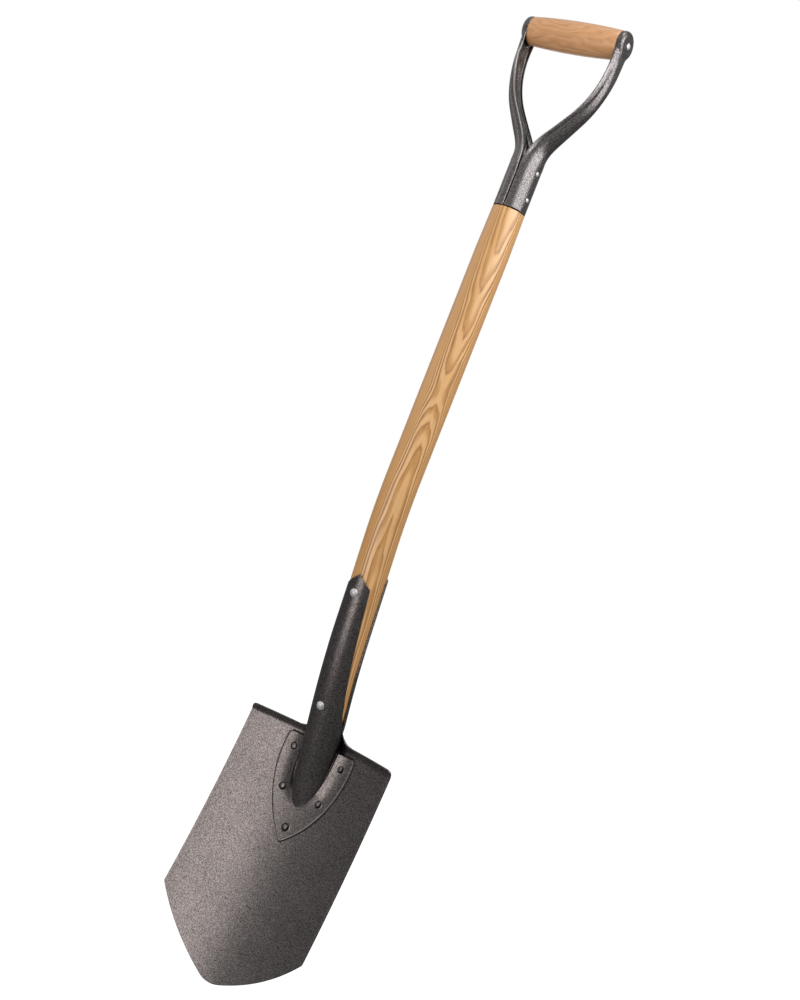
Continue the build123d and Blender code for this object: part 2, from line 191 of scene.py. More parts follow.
def softenRims(piece, width, segments=2, angle=38):
    rim = piece.modifiers.new("softRim", "BEVEL")
    rim.width = width * mm
    rim.segments = segments
    rim.limit_method = "ANGLE"
    rim.angle_limit = radians(angle)
    rim.use_clamp_overlap = True
    return flatten(piece)


def fill(tree, slot, value):
    # an output is linked, anything else is set; a colour gets its alpha
    if isinstance(value, bpy.types.NodeSocket):
        tree.links.new(value, slot)
    elif value is not None:
        slot.default_value = (*value, 1) if slot.type == "RGBA" else value


def fillAll(tree, made, **inputs):
    for key, value in inputs.items():
        fill(tree, made.inputs[key.replace("_", " ")], value)


def node(tree, kind, *values, setup=None, **inputs):
    made = tree.nodes.new(kind)
    for key, value in (setup or {}).items():
        setattr(made, key, value)
    for place, value in enumerate(values):
        fill(tree, made.inputs[place], value)
    fillAll(tree, made, **inputs)
    return made


def mathNode(tree, operation, *values):
    return node(tree, "ShaderNodeMath", *values, setup={"operation": operation}).outputs[0]


def sums(tree, *kinds):
    # a short function for each kind of maths node in a tree
    return [lambda *values, kind=kind: mathNode(tree, kind, *values) for kind in kinds]


def vectorNode(tree, operation, a, b=None, scale=None):
    made = node(tree, "ShaderNodeVectorMath", a, b, None, scale, setup={"operation": operation})
    return made.outputs["Value" if operation in ("DOT_PRODUCT", "DISTANCE") else "Vector"]


def rangeNode(tree, value, start, end, low=0.0, high=1.0, kind="LINEAR"):
    setup = {"interpolation_type": kind}
    return node(tree, "ShaderNodeMapRange", value, start, end, low, high, setup=setup).outputs[0]


def fadeNode(tree, value, start, end, low=0.0):
    return rangeNode(tree, value, start, end, low, kind="SMOOTHSTEP")


def rampNode(tree, factor, stops):
    made = node(tree, "ShaderNodeValToRGB", factor)
    while len(made.color_ramp.elements) < len(stops):
        made.color_ramp.elements.new(0.5)
    for element, (place, colour) in zip(made.color_ramp.elements, stops):
        element.position = place
        element.color = (*colour, 1)
    return made.outputs[0]


def mixColour(tree, factor, a, b):
    made = node(tree, "ShaderNodeMix", factor, setup={"data_type": "RGBA"})
    fill(tree, made.inputs[6], a)
    fill(tree, made.inputs[7], b)
    return made.outputs[2]


def attribute(tree, name, output="Fac"):
    return node(tree, "ShaderNodeAttribute", setup={"attribute_name": name}).outputs[output]


def objectPlace(tree):
    return tree.nodes.new("ShaderNodeTexCoord").outputs["Object"]


def mirroredRays(tree):
    rays = tree.nodes.new("ShaderNodeLightPath").outputs
    return rays, mathNode(tree, "MAXIMUM", rays["Is Glossy Ray"], rays["Is Transmission Ray"])


def newMaterial(name):
    material = bpy.data.materials.new(name)
    material.use_nodes = True
    tree = material.node_tree
    return material, tree, tree.nodes["Principled BSDF"]


def dress(tree, shader, colour, rough, height, bump, **more):
    # the inputs that each look of the spade ends in
    strength, distance = bump
    lift = node(tree, "ShaderNodeBump", Strength=strength, Distance=distance, Height=height).outputs[0]
    fillAll(tree, shader, Base_Color=colour, Roughness=rough, Normal=lift, **more)


# Hammered grey coat: fine bright grain on a darker ground, with painted shade black in folds and a painted
# highlight pale on rims
hammerCoat = dict(
    dark=(0.078, 0.072, 0.070),
    light=(0.39, 0.357, 0.349),
    # near-black colour of the painted shade in folds and shut-in places
    inside=(0.012, 0.011, 0.011),
    # colour of the painted highlight on rims and beads
    rubbed=(0.72, 0.69, 0.68),
    grain={"Scale": 1 / 0.00098, "Detail": 2.5, "Roughness": 0.6},
    grainEdges=(0.34, 0.70),
    cloud={"Scale": 34.0, "Detail": 2.0},
    cloudShare=(0.2, -0.1),
    shadeEdges=(0.25, 0.8),
    shadeShare=0.92,
    glintGrain=(0.5, 0.5),
    rough=(0.08, 0.27),
    bump=(0.25, 0.0002),
    metallic=0.92,
)


def makeHammerCoat(name, look):
    material, tree, shader = newMaterial(name)
    add, times, timesAdd = sums(tree, "ADD", "MULTIPLY", "MULTIPLY_ADD")
    place = objectPlace(tree)
    grains = node(tree, "ShaderNodeTexNoise", place, **look["grain"]).outputs["Fac"]
    cloud = node(tree, "ShaderNodeTexNoise", place, **look["cloud"]).outputs["Fac"]
    speckle = fadeNode(tree, grains, *look["grainEdges"])
    blend = add(speckle, timesAdd(cloud, *look["cloudShare"]))
    colour = rampNode(tree, blend, ((0.0, look["dark"]), (1.0, look["light"])))
    # painted shade: darker where the piece carries the shut-in attribute
    hollow = fadeNode(tree, attribute(tree, "hollow"), *look["shadeEdges"])
    colour = mixColour(tree, times(hollow, look["shadeShare"]), colour, look["inside"])
    # painted highlight on rims and beads, carried by an attribute
    rubbed = times(attribute(tree, "rubbed"), timesAdd(speckle, *look["glintGrain"]))
    colour = mixColour(tree, rubbed, colour, look["rubbed"])
    rough = timesAdd(grains, *look["rough"])
    dress(tree, shader, colour, rough, grains, look["bump"], Metallic=look["metallic"])
    return material


# Ash: growth rings that the surface cuts into arches over and under a waist, with rows of fine pores.
# A noise is its scale, detail, squeeze along the grain and roughness.
ashLook = dict(
    pale=(0.80, 0.475, 0.205),
    honey=(0.545, 0.265, 0.066),
    plain=(0.615, 0.318, 0.104),
    line=(0.29, 0.125, 0.035),
    shaded=(0.03, 0.014, 0.006),
    contrast=0.9,
    uneven=(0.9, 0.5),
    unevenNoise=(38.0, 1.0, 0.45, 0.5),
    facing=40.0,
    bend=0.006,
    bendNoise=(22.0, 2.0, 0.35, 0.5),
    waist=0.266,
    waistSoft=0.02,
    below=1.3,
    belowReach=0.010,
    above=20.0,
    pointed=70.0,
    across=5000.0,
    flank=3.6e7,
    sway=2.1,
    swayNoise=(55.0, 2.0, 0.22, 0.5),
    ripple=0.5,
    rippleNoise=(260.0, 2.0, 0.08, 0.5),
    firstRing=40.0,
    ringStops=(
        (0.0, "honey"), (0.08, "pale"), (0.36, "pale"), (0.66, "honey"),
        (0.86, "honey"), (0.94, "line"), (1.0, "honey"),
    ),
    crowdedStops=((0.0, "line"), (0.16, "pale"), (0.52, "pale"), (0.72, "line"), (1.0, "line")),
    crowdedEdges=(0.000030, 0.000075),
    crowdedShare=0.9,
    plainLeft=(-0.0150, -0.0120),
    plainRight=(0.0110, 0.0150),
    tone=(1.3, -0.5),
    toneNoise=(40.0, 3.0, 0.12, 0.5),
    early=(0.6, 0.9),
    poreEdges=(0.52, 0.64),
    poreShare=(0.7, 0.16),
    poreDepth=0.8,
    poreNoise=(1100.0, 2.0, 0.035, 0.6),
    fine=(0.4, -0.14),
    fineNoise=(1500.0, 2.0, 0.02, 0.5),
    shadeEdges=(0.55, 0.95),
    rough=(0.12, 0.40),
    bump=(0.12, 0.0003),
    coat={"Coat Weight": 0.8, "Coat Roughness": 0.28, "Coat IOR": 1.6},
)


def makeAsh(name, look, source=None, turn=(0, 0, 0)):
    material, tree, shader = newMaterial(name)
    add, minus, times, timesAdd = sums(tree, "ADD", "SUBTRACT", "MULTIPLY", "MULTIPLY_ADD")
    place = attribute(tree, source, "Vector") if source else objectPlace(tree)
    grain = node(tree, "ShaderNodeMapping", place, Rotation=turn).outputs[0]

    def noise(key):
        scale, detail, along, roughness = look[key]
        squeezed = node(tree, "ShaderNodeMapping", grain, Scale=(1, 1, along)).outputs[0]
        kind = {"Scale": scale, "Detail": detail, "Roughness": roughness}
        return node(tree, "ShaderNodeTexNoise", squeezed, **kind).outputs["Fac"]

    def fade(value, key):
        return fadeNode(tree, value, *look[key])

    def ramp(value, key):
        return rampNode(tree, value, [(at, look[colour]) for at, colour in look[key]])

    across, deep, along = node(tree, "ShaderNodeSeparateXYZ", grain).outputs
    facing = radians(look["facing"])
    aside = timesAdd(across, cos(facing), times(deep, -sin(facing)))
    aside = timesAdd(minus(noise("bendNoise"), 0.5), look["bend"], aside)
    below = mathNode(tree, "SMOOTH_MAX", minus(along, look["waist"]), 0.0, look["waistSoft"])
    above = mathNode(tree, "SMOOTH_MAX", minus(look["waist"], along), 0.0, look["waistSoft"])
    # under the waist each arch is longer than the one before, and the rings crowd together at the flanks
    spread = mathNode(tree, "LOGARITHM", timesAdd(below, 1 / look["belowReach"], 1.0), np.e)
    arch = timesAdd(spread, look["below"], times(above, look["above"]))
    square = times(aside, aside)
    flank = times(square, timesAdd(square, look["flank"], look["across"]))
    pointed = timesAdd(mathNode(tree, "ABSOLUTE", aside), look["pointed"], flank)
    rings = timesAdd(noise("swayNoise"), look["sway"], minus(pointed, arch))
    rings = timesAdd(noise("rippleNoise"), look["ripple"], rings)
    ring = mathNode(tree, "FRACT", add(rings, look["firstRing"]))
    crowded = times(fade(square, "crowdedEdges"), look["crowdedShare"])
    banded = mixColour(tree, crowded, ramp(ring, "ringStops"), ramp(ring, "crowdedStops"))
    # the rings show where the arches run and die out into plain wood at both sides
    shown = times(fade(aside, "plainLeft"), minus(1.0, fade(aside, "plainRight")))
    strength = times(times(shown, look["contrast"]), timesAdd(noise("unevenNoise"), *look["uneven"]))
    body = mixColour(tree, strength, look["plain"], banded)
    body = mixColour(tree, timesAdd(noise("toneNoise"), *look["tone"]), body, look["honey"])
    early = times(fade(ring, "early"), shown)
    poreLine = times(fade(noise("poreNoise"), "poreEdges"), timesAdd(early, *look["poreShare"]))
    body = mixColour(tree, timesAdd(noise("fineNoise"), *look["fine"]), body, look["line"])
    body = mixColour(tree, times(poreLine, look["poreDepth"]), body, look["line"])
    # painted shade: wood shut in by the metal drawn dark
    body = mixColour(tree, fade(attribute(tree, "hollow"), "shadeEdges"), body, look["shaded"])
    rough = timesAdd(early, *look["rough"])
    dress(tree, shader, body, rough, minus(1.0, poreLine), look["bump"], **look["coat"])
    return material


# Bright zinc of the rivets: light metal with soft smears
rivetZinc = dict(
    stops=((0.3, (0.55, 0.55, 0.55)), (0.62, (0.86, 0.86, 0.85))),
    smear={"Scale": 420.0, "Detail": 4.0, "Roughness": 0.6},
    rough=(0.16, 0.36),
    bump=(0.05, 0.0002),
    metallic=0.7,
)


def makeRivetZinc(name, look):
    material, tree, shader = newMaterial(name)
    smear = node(tree, "ShaderNodeTexNoise", objectPlace(tree), **look["smear"]).outputs["Fac"]
    rough = mathNode(tree, "MULTIPLY_ADD", smear, *look["rough"])
    colour = rampNode(tree, smear, look["stops"])
    dress(tree, shader, colour, rough, smear, look["bump"], Metallic=look["metallic"])
    return material


# The grip's wood is the same ash with a fainter figure
gripLook = dict(
    ashLook,
    pale=(0.705, 0.385, 0.190),
    honey=(0.53, 0.248, 0.085),
    plain=(0.615, 0.312, 0.138),
    line=(0.38, 0.175, 0.06),
    contrast=0.34,
    facing=20.0,
    waist=0.02,
    below=0.6,
    pointed=0.0,
    across=9000.0,
    flank=0.0,
    sway=4.5,
    swayNoise=(55.0, 2.0, 0.4, 0.5),
    plainLeft=(-0.03, -0.02),
    plainRight=(0.02, 0.03),
)
coatMaterial = makeHammerCoat("hammeredCoat", hammerCoat)
shaftMaterial = makeAsh("ashShaftWood", ashLook, "grain")
gripMaterial = makeAsh("ashGripWood", gripLook, turn=(0, radians(90), 0))
zincMaterial = makeRivetZinc("rivetZinc", rivetZinc)
print("materials ready")


def newGeometryTree(name, sizes):
    tree = bpy.data.node_groups.new(name, "GeometryNodeTree")
    kinds = [("Geometry", "Geometry"), *((size, "Float") for size in sizes), ("Finish", "Material")]
    keys = {}
    for size, kind in kinds:
        made = tree.interface.new_socket(size, in_out="INPUT", socket_type="NodeSocket" + kind)
        keys[size] = made.identifier
    tree.interface.new_socket("Geometry", in_out="OUTPUT", socket_type="NodeSocketGeometry")
    return tree, keys, tree.nodes.new("NodeGroupInput").outputs


def finishTree(tree, given, geometry):
    real = node(tree, "GeometryNodeRealizeInstances", geometry)
    finish = node(tree, "GeometryNodeSetMaterial", Geometry=real.outputs[0], Material=given["Finish"])
    node(tree, "NodeGroupOutput", finish.outputs[0])


def growPiece(piece, tree, keys, sizes, material):
    grow = piece.modifiers.new(tree.name, "NODES")
    grow.node_group = tree
    for key, value in sizes.items():
        grow[keys[key]] = value
    grow[keys["Finish"]] = material
    return flatten(piece)


def positionNode(tree):
    return tree.nodes.new("GeometryNodeInputPosition").outputs[0]


def storeNode(tree, geometry, name, value, kind="FLOAT"):
    setup = {"data_type": kind, "domain": "POINT"}
    inputs = {"Geometry": geometry, "Name": name, "Value": value}
    return node(tree, "GeometryNodeStoreNamedAttribute", setup=setup, **inputs).outputs["Geometry"]


def readNode(tree, name, kind="FLOAT"):
    setup = {"data_type": kind}
    return node(tree, "GeometryNodeInputNamedAttribute", setup=setup, Name=name).outputs["Attribute"]


# Shaft: one bar along the double bend, with a turned-down end inside the yoke's socket
shaftSizes = dict(
    radius=19.0,
    mouthRadius=18.1,
    tenonRadius=13.5,
    taperLength=48.0,
    topDrop=150.0,
    mouthDrop=200.0,
    mouthStep=0.03,
    bendDrop=543.0,
    bendLean=7.5,
    bendRadius=600.0,
    heelLength=182.0,
    heelLean=14.5,
    heelRadius=800.0,
    endDrop=806.0,
    heelCutDrop=774.0,
    heelCut=0.0066,
    heelCutBlend=10.0,
    around=72,
    straightSteps=60,
    bendStep=6.0,
    sharpAngle=40,
)
bendPlace = np.array((0.0, -shaftSizes["bendDrop"]))
heelPlace = bendPlace + down(shaftSizes["bendLean"]) * shaftSizes["heelLength"]


def shaftTree():
    sizes = ("Radius", "Mouth radius", "Tenon radius", "Tenon length", "Taper length")
    tree, keys, given = newGeometryTree("shaftAlongRoute", sizes)
    add, minus, times = sums(tree, "ADD", "SUBTRACT", "MULTIPLY")
    length = tree.nodes.new("GeometryNodeSplineParameter").outputs["Length"]
    taperStart = given["Tenon length"]
    taperEnd = add(taperStart, given["Taper length"])
    taper = rangeNode(tree, length, taperStart, taperEnd, given["Mouth radius"], given["Radius"])
    inSocket = mathNode(tree, "LESS_THAN", length, taperStart)
    radius = add(taper, times(inSocket, minus(given["Tenon radius"], taper)))
    line = node(tree, "GeometryNodeMeshToCurve", given["Geometry"]).outputs[0]
    route = storeNode(tree, storeNode(tree, line, "along", length), "girth", radius)
    circle = node(tree, "GeometryNodeCurvePrimitiveCircle", Resolution=shaftSizes["around"], Radius=1.0)
    ring = storeNode(tree, circle.outputs["Curve"], "round", positionNode(tree), "FLOAT_VECTOR")
    inputs = {"Curve": route, "Profile Curve": ring, "Scale": radius, "Fill Caps": True}
    bar = node(tree, "GeometryNodeCurveToMesh", **inputs).outputs[0]
    # the wood as it was before it was bent: place across the bar, and length along it
    across = readNode(tree, "round", "FLOAT_VECTOR")
    across = vectorNode(tree, "SCALE", across, scale=readNode(tree, "girth"))
    x, y = node(tree, "ShaderNodeSeparateXYZ", across).outputs[:2]
    unbent = node(tree, "ShaderNodeCombineXYZ", x, y, readNode(tree, "along")).outputs[0]
    finishTree(tree, given, storeNode(tree, bar, "grain", unbent, "FLOAT_VECTOR"))
    return tree, keys


def makeShaft():
    size = shaftSizes
    top, mouth = -size["topDrop"], -size["mouthDrop"]
    corners = ((0, top), bendPlace, heelPlace, onRun(heelPlace, size["heelLean"], size["endDrop"]))
    route = roundedRoute(corners, (size["bendRadius"], size["heelRadius"]), size["bendStep"])
    upper = [(0, top), (0, mouth + size["mouthStep"]), (0, mouth - size["mouthStep"])]
    upper += [(0, z) for z in np.linspace(mouth, route[1][1], size["straightSteps"])[1:-1]]
    points = [(0, y * mm, z * mm) for y, z in np.vstack([np.array(upper), route[1:]])]
    mesh = bpy.data.meshes.new("ashShaft")
    mesh.from_pydata(points, [(i, i + 1) for i in range(len(points) - 1)], [])
    sizes = {
        "Radius": size["radius"] * mm,
        "Mouth radius": size["mouthRadius"] * mm,
        "Tenon radius": size["tenonRadius"] * mm,
        "Tenon length": (size["mouthDrop"] - size["topDrop"]) * mm,
        "Taper length": size["taperLength"] * mm,
    }
    piece = growPiece(addObject("ashShaft", mesh), *shaftTree(), sizes, shaftMaterial)
    # the back of the heel is cut to the curve of the blade's root
    spots = readSpots(piece)
    drop = -spots[:, 2] / mm
    middle = heelPlace[0] + tan(radians(size["heelLean"])) * (drop + heelPlace[1])
    behind = np.clip((spots[:, 1] / mm - middle) / size["heelCutBlend"] + 0.5, 0, 1)
    spots[:, 1] -= behind * size["heelCut"] * np.maximum(drop - size["heelCutDrop"], 0) ** 2 * mm
    moveSpots(piece, spots)
    return shadeSmooth(piece, size["sharpAngle"])


ashShaft = makeShaft()
print("shaft", len(ashShaft.data.polygons), "faces")


# Blade: a dished sheet with a turned tread, drawn in at the neck to a half-socket behind the shaft
bladeSizes = dict(
    sheet=1.6,
    rim=0.45,
    halfWidth=97.5,
    treadHalf=95.75,
    treadDrop=799.0,
    tipDrop=1082.6,
    cornerDrop=1011.5,
    edgeBulge=8.6,
    tipRound=32.0,
    cornerRound=4.0,
    treadRound=4.5,
    dishRadius=307.0,
    dishSetBack=53.7,
    lean=5.7,
    bowRadius=1680.0,
    treadBend=8.0,
    treadTurn=38.0,
    treadLip=4.0,
    neckFillet=15.0,
    neckCrease=0.5,
    bore=19.15,
    rearTopDrop=606.0,
    rearPoint=12.0,
    seamSetBack=4.6,
    toeDrop=800.0,
    toeTurn=16.0,
    toeRadius=90.0,
    toeLength=300.0,
    troughFall=4.0,
    crease=7.0,
    coreHalf=60.0,
    coreShare=0.66,
    columns=(20, 9, 11, 20),
    apexRows=(0.15, 14, 10.0),
    socketRows=60,
    neckRows=13,
    neckNear=0.01,
    panRows=((816, 22), (1002, 78), (1020, 19)),
    tipRows=(0.02, 46, 1.6),
)
dishCentre = bladeSizes["dishSetBack"] - bladeSizes["dishRadius"]
faceHeading = radians(90 - bladeSizes["lean"])
lipHeading = faceHeading + radians(bladeSizes["treadTurn"])
bendShare = cos(faceHeading) - cos(lipHeading)
lipStart = -bladeSizes["treadDrop"] - bladeSizes["treadLip"] * sin(lipHeading)
faceStart = lipStart - bladeSizes["treadBend"] * bendShare
webTop = -bladeSizes["treadDrop"] + bladeSizes["neckFillet"]
bowCentreR = bladeSizes["dishRadius"] - bladeSizes["bowRadius"] * cos(radians(bladeSizes["lean"]))
bowCentreZ = faceStart + bladeSizes["bowRadius"] * sin(radians(bladeSizes["lean"]))


def faceRadius(z):
    # distance of the blade's face from the dish's upright axis: bow, tread bend, lip
    z = np.asarray(z, float)
    bow = bowCentreR + np.sqrt(bladeSizes["bowRadius"] ** 2 - (np.minimum(z, faceStart) - bowCentreZ) ** 2)
    part = np.clip((z - faceStart) / bladeSizes["treadBend"], 0, bendShare)
    turned = np.arccos(np.clip(cos(faceHeading) - part, -1, 1))
    bend = bladeSizes["treadBend"] * (np.sin(turned) - sin(faceHeading))
    lip = np.maximum(z - lipStart, 0) / tan(lipHeading)
    return bow + bend + lip


def faceY(x, z):
    return dishCentre + np.sqrt(faceRadius(z) ** 2 - np.asarray(x) ** 2)


def arcEdge(corner, tip, bulge):
    # circle through a corner, a tip and a bulge between them: centre and radius
    corner, tip = np.array(corner, float), np.array(tip, float)
    chord = tip - corner
    half = np.linalg.norm(chord) / 2
    outward = np.array((-chord[1], chord[0])) / np.linalg.norm(chord)
    radius = (half**2 + bulge**2) / (2 * bulge)
    return (corner + tip) / 2 + outward * (bulge - radius), radius


def bladeEdge(z):
    # half width of the blade at a height below the treads, and the height of its tip
    size = bladeSizes
    corner, tip = (size["halfWidth"], -size["cornerDrop"]), (0, -size["tipDrop"])
    (cx, cz), radius = arcEdge(corner, tip, size["edgeBulge"])
    share = np.clip((-size["treadDrop"] - z) / (size["cornerDrop"] - size["treadDrop"]), 0, 1)
    side = size["treadHalf"] + (size["halfWidth"] - size["treadHalf"]) * share
    edge = min(side, cx + sqrt(max(radius**2 - (z - cz) ** 2, 0)))
    tipCentre = cz - sqrt((radius - size["tipRound"]) ** 2 - cx**2)
    if z < cz + (tipCentre - cz) * radius / (radius - size["tipRound"]):
        edge = sqrt(max(size["tipRound"] ** 2 - (z - tipCentre) ** 2, 0))
    small = size["cornerRound"]
    cornerX = size["halfWidth"] - small
    cornerZ = cz - sqrt((radius - small) ** 2 - (cornerX - cx) ** 2)
    if cz + (cornerZ - cz) * radius / (radius - small) < z < cornerZ:
        edge = cornerX + sqrt(max(small**2 - (z - cornerZ) ** 2, 0))
    soft = size["treadRound"]
    rise = np.clip(z + size["treadDrop"] + soft, 0, soft)
    return edge - soft + sqrt(soft**2 - rise**2), tipCentre - size["tipRound"]


toePlace = onRun(heelPlace, shaftSizes["heelLean"], bladeSizes["toeDrop"])
toeEnd = toePlace + down(-bladeSizes["toeTurn"]) * bladeSizes["toeLength"]
strapStart = onRun(bendPlace, shaftSizes["bendLean"], bladeSizes["rearTopDrop"] - bladeSizes["rearPoint"])
rearRadii = (shaftSizes["heelRadius"], bladeSizes["toeRadius"])
rearRoute = roundedRoute((strapStart, heelPlace, toePlace, toeEnd), rearRadii)


def makeBlade():
    size = bladeSizes
    bore, outer, core = size["bore"], size["bore"] + size["sheet"], size["coreHalf"]
    neckEnd = outer + size["neckFillet"]
    tubeSteps, neckSteps, midSteps, wingSteps = size["columns"]
    half = [bore * sin(radians(90 * i / tubeSteps)) for i in range(tubeSteps + 1)]
    marks = (bore, neckEnd, core, size["halfWidth"])
    for start, end, count in zip(marks, marks[1:], (neckSteps, midSteps, wingSteps)):
        half += list(np.linspace(start, end, count + 1)[1:])
    half = np.array(half)
    neckLast = tubeSteps + neckSteps
    seam = np.array((
        (faceY(0, webTop), webTop),
        (heelPlace[0] + size["seamSetBack"] / 2, heelPlace[1]),
        (strapStart[0] + size["seamSetBack"], strapStart[1]),
    ))

    def troughY(x, z):
        # inside of the half-socket, which runs on down the pan as a trough
        y, stretch = crossing(rearRoute, z)
        inside = y + stretch * np.sqrt(np.maximum(bore**2 - x**2, 0))
        return np.where(x <= bore, inside, y - size["troughFall"] * (x - bore))

    def drawnIn(xs, edge):
        # columns of the neck squeezed in to its edge
        return bore + (xs - bore) * (edge - bore) / (neckEnd - bore)

    rows = []
    apexRound = 2 * size["rearPoint"]
    slant = atan2(size["rearPoint"], outer)
    top = -size["rearTopDrop"] - apexRound * (1 / cos(slant) - 1)
    # half-socket behind the shaft, from its rounded point down to the neck
    first, count, depth = size["apexRows"]
    fall = np.linspace(first, 1, count) ** 2 * depth
    fall = np.concatenate([fall, np.linspace(depth, -webTop + top, size["socketRows"])[1:]])
    for z in top - fall:
        y, stretch = crossing(rearRoute, z)
        atNeck = z <= webTop + size["neckNear"]
        ahead = (np.interp(z, seam[:, 1], seam[:, 0]) - y) / stretch
        wide = bore if atNeck else sqrt(max(bore**2 - ahead**2, 0))
        wide = min(wide, (-size["rearTopDrop"] - z) * outer / size["rearPoint"])
        if top - z < apexRound * (1 - cos(slant)):
            wide = min(wide, sqrt(2 * apexRound * (top - z) - (top - z) ** 2))
        angles = asin(min(1, wide / bore)) * np.arange(tubeSteps + 1) / tubeSteps
        xs = bore * np.sin(angles)
        ys = y + stretch * bore * np.cos(angles)
        if atNeck:
            more = drawnIn(half[tubeSteps + 1:neckLast + 1], outer)
            xs = np.concatenate([xs, more])
            ys = np.concatenate([ys, np.maximum(faceY(more, z), troughY(more, z))])
        rows.append(bothSides(xs, ys, z))
    # neck between the treads
    for z in np.linspace(webTop, -size["treadDrop"], size["neckRows"])[1:-1]:
        edge = neckEnd - sqrt(max(size["neckFillet"] ** 2 - (webTop - z) ** 2, 0))
        xs = half[:neckLast + 1].copy()
        xs[tubeSteps:] = drawnIn(xs[tubeSteps:], edge)
        share = min(1, (webTop - z) / size["neckFillet"])
        reach = size["neckCrease"] + (size["crease"] - size["neckCrease"]) * share
        rows.append(bothSides(xs, smoothMax(faceY(xs, z), troughY(xs, z), reach), z))
    # the pan, from the treads to the point
    levels = [-size["treadDrop"]]
    for drop, count in size["panRows"]:
        levels += list(np.linspace(levels[-1], -drop, count)[1:])
    bottom = bladeEdge(levels[-1])[1]
    last, count, power = size["tipRows"]
    levels += list(bottom + (levels[-1] - bottom) * np.linspace(1, last, count)[1:] ** power)
    for z in levels:
        edge = bladeEdge(z)[0]
        inner = min(core, size["coreShare"] * edge)
        wing = inner + (half - core) * (edge - inner) / (size["halfWidth"] - core)
        xs = np.where(half <= core, half * inner / core, wing)
        rows.append(bothSides(xs, smoothMax(faceY(xs, z), troughY(xs, z), size["crease"]), z))
    points, faces = sheetFromGrid(rows, size["sheet"])
    return softenRims(plainMesh("bladePan", points, faces, coatMaterial), size["rim"])


bladePan = makeBlade()
print("blade", len(bladePan.data.polygons), "faces")


# Front strap: a half-tube over the shaft that runs out as a dome on a riveted plate
strapSizes = dict(
    sheet=1.5,
    rim=0.35,
    gap=0.2,
    radius=20.65,
    routeEnd=960.0,
    topDrop=617.7,
    point=12.5,
    topWidth=14.5,
    closing=6.0,
    plateTop=809.6,
    plateTip=921.0,
    plateHalf=43.8,
    plateBulge=15.0,
    plateCorner=3.0,
    tipStart=0.6,
    tipInset=0.62,
    least=0.02,
    leastFlat=0.1,
    domeFillet=2.5,
    swell=2.8,
    swellStart=8.0,
    swellReach=8.0,
    sagPower=4,
    skirt=2.4,
    skirtSteep=(0.45, 0.74),
    skirtSink=0.08,
    outline=0.55,
    glintSides=(0.25, 1.0),
    glintAt=-0.4,
    glintWidth=0.55,
    glintEnd=1.0,
    columns=(18, 4, 12, 14, 9),
    pointRows=(0.35, 14),
    tubeRows=70,
    wallRows=17,
    plateRows=(8, 92, 9),
)
frontEnd = onRun(heelPlace, shaftSizes["heelLean"], strapSizes["routeEnd"])
frontRoute = roundedRoute((strapStart, heelPlace, frontEnd), (shaftSizes["heelRadius"],))


def plateEdge(z):
    # half width of the plate at a height
    size = strapSizes
    corner = size["plateCorner"]
    widest, tip = (size["plateHalf"], -size["plateTop"]), (0, -size["plateTip"])
    (cx, cz), radius = arcEdge(widest, tip, size["plateBulge"])
    near = corner - min(corner, -size["plateTop"] - z)
    edge = cx + sqrt(max(radius**2 - (z - cz) ** 2, 0)) - (corner - sqrt(corner**2 - near**2))
    above = z + size["plateTip"]
    if above < corner:
        edge = min(edge, sqrt(max(0, 2 * corner * (above - size["tipStart"]))))
    return max(size["least"], edge)


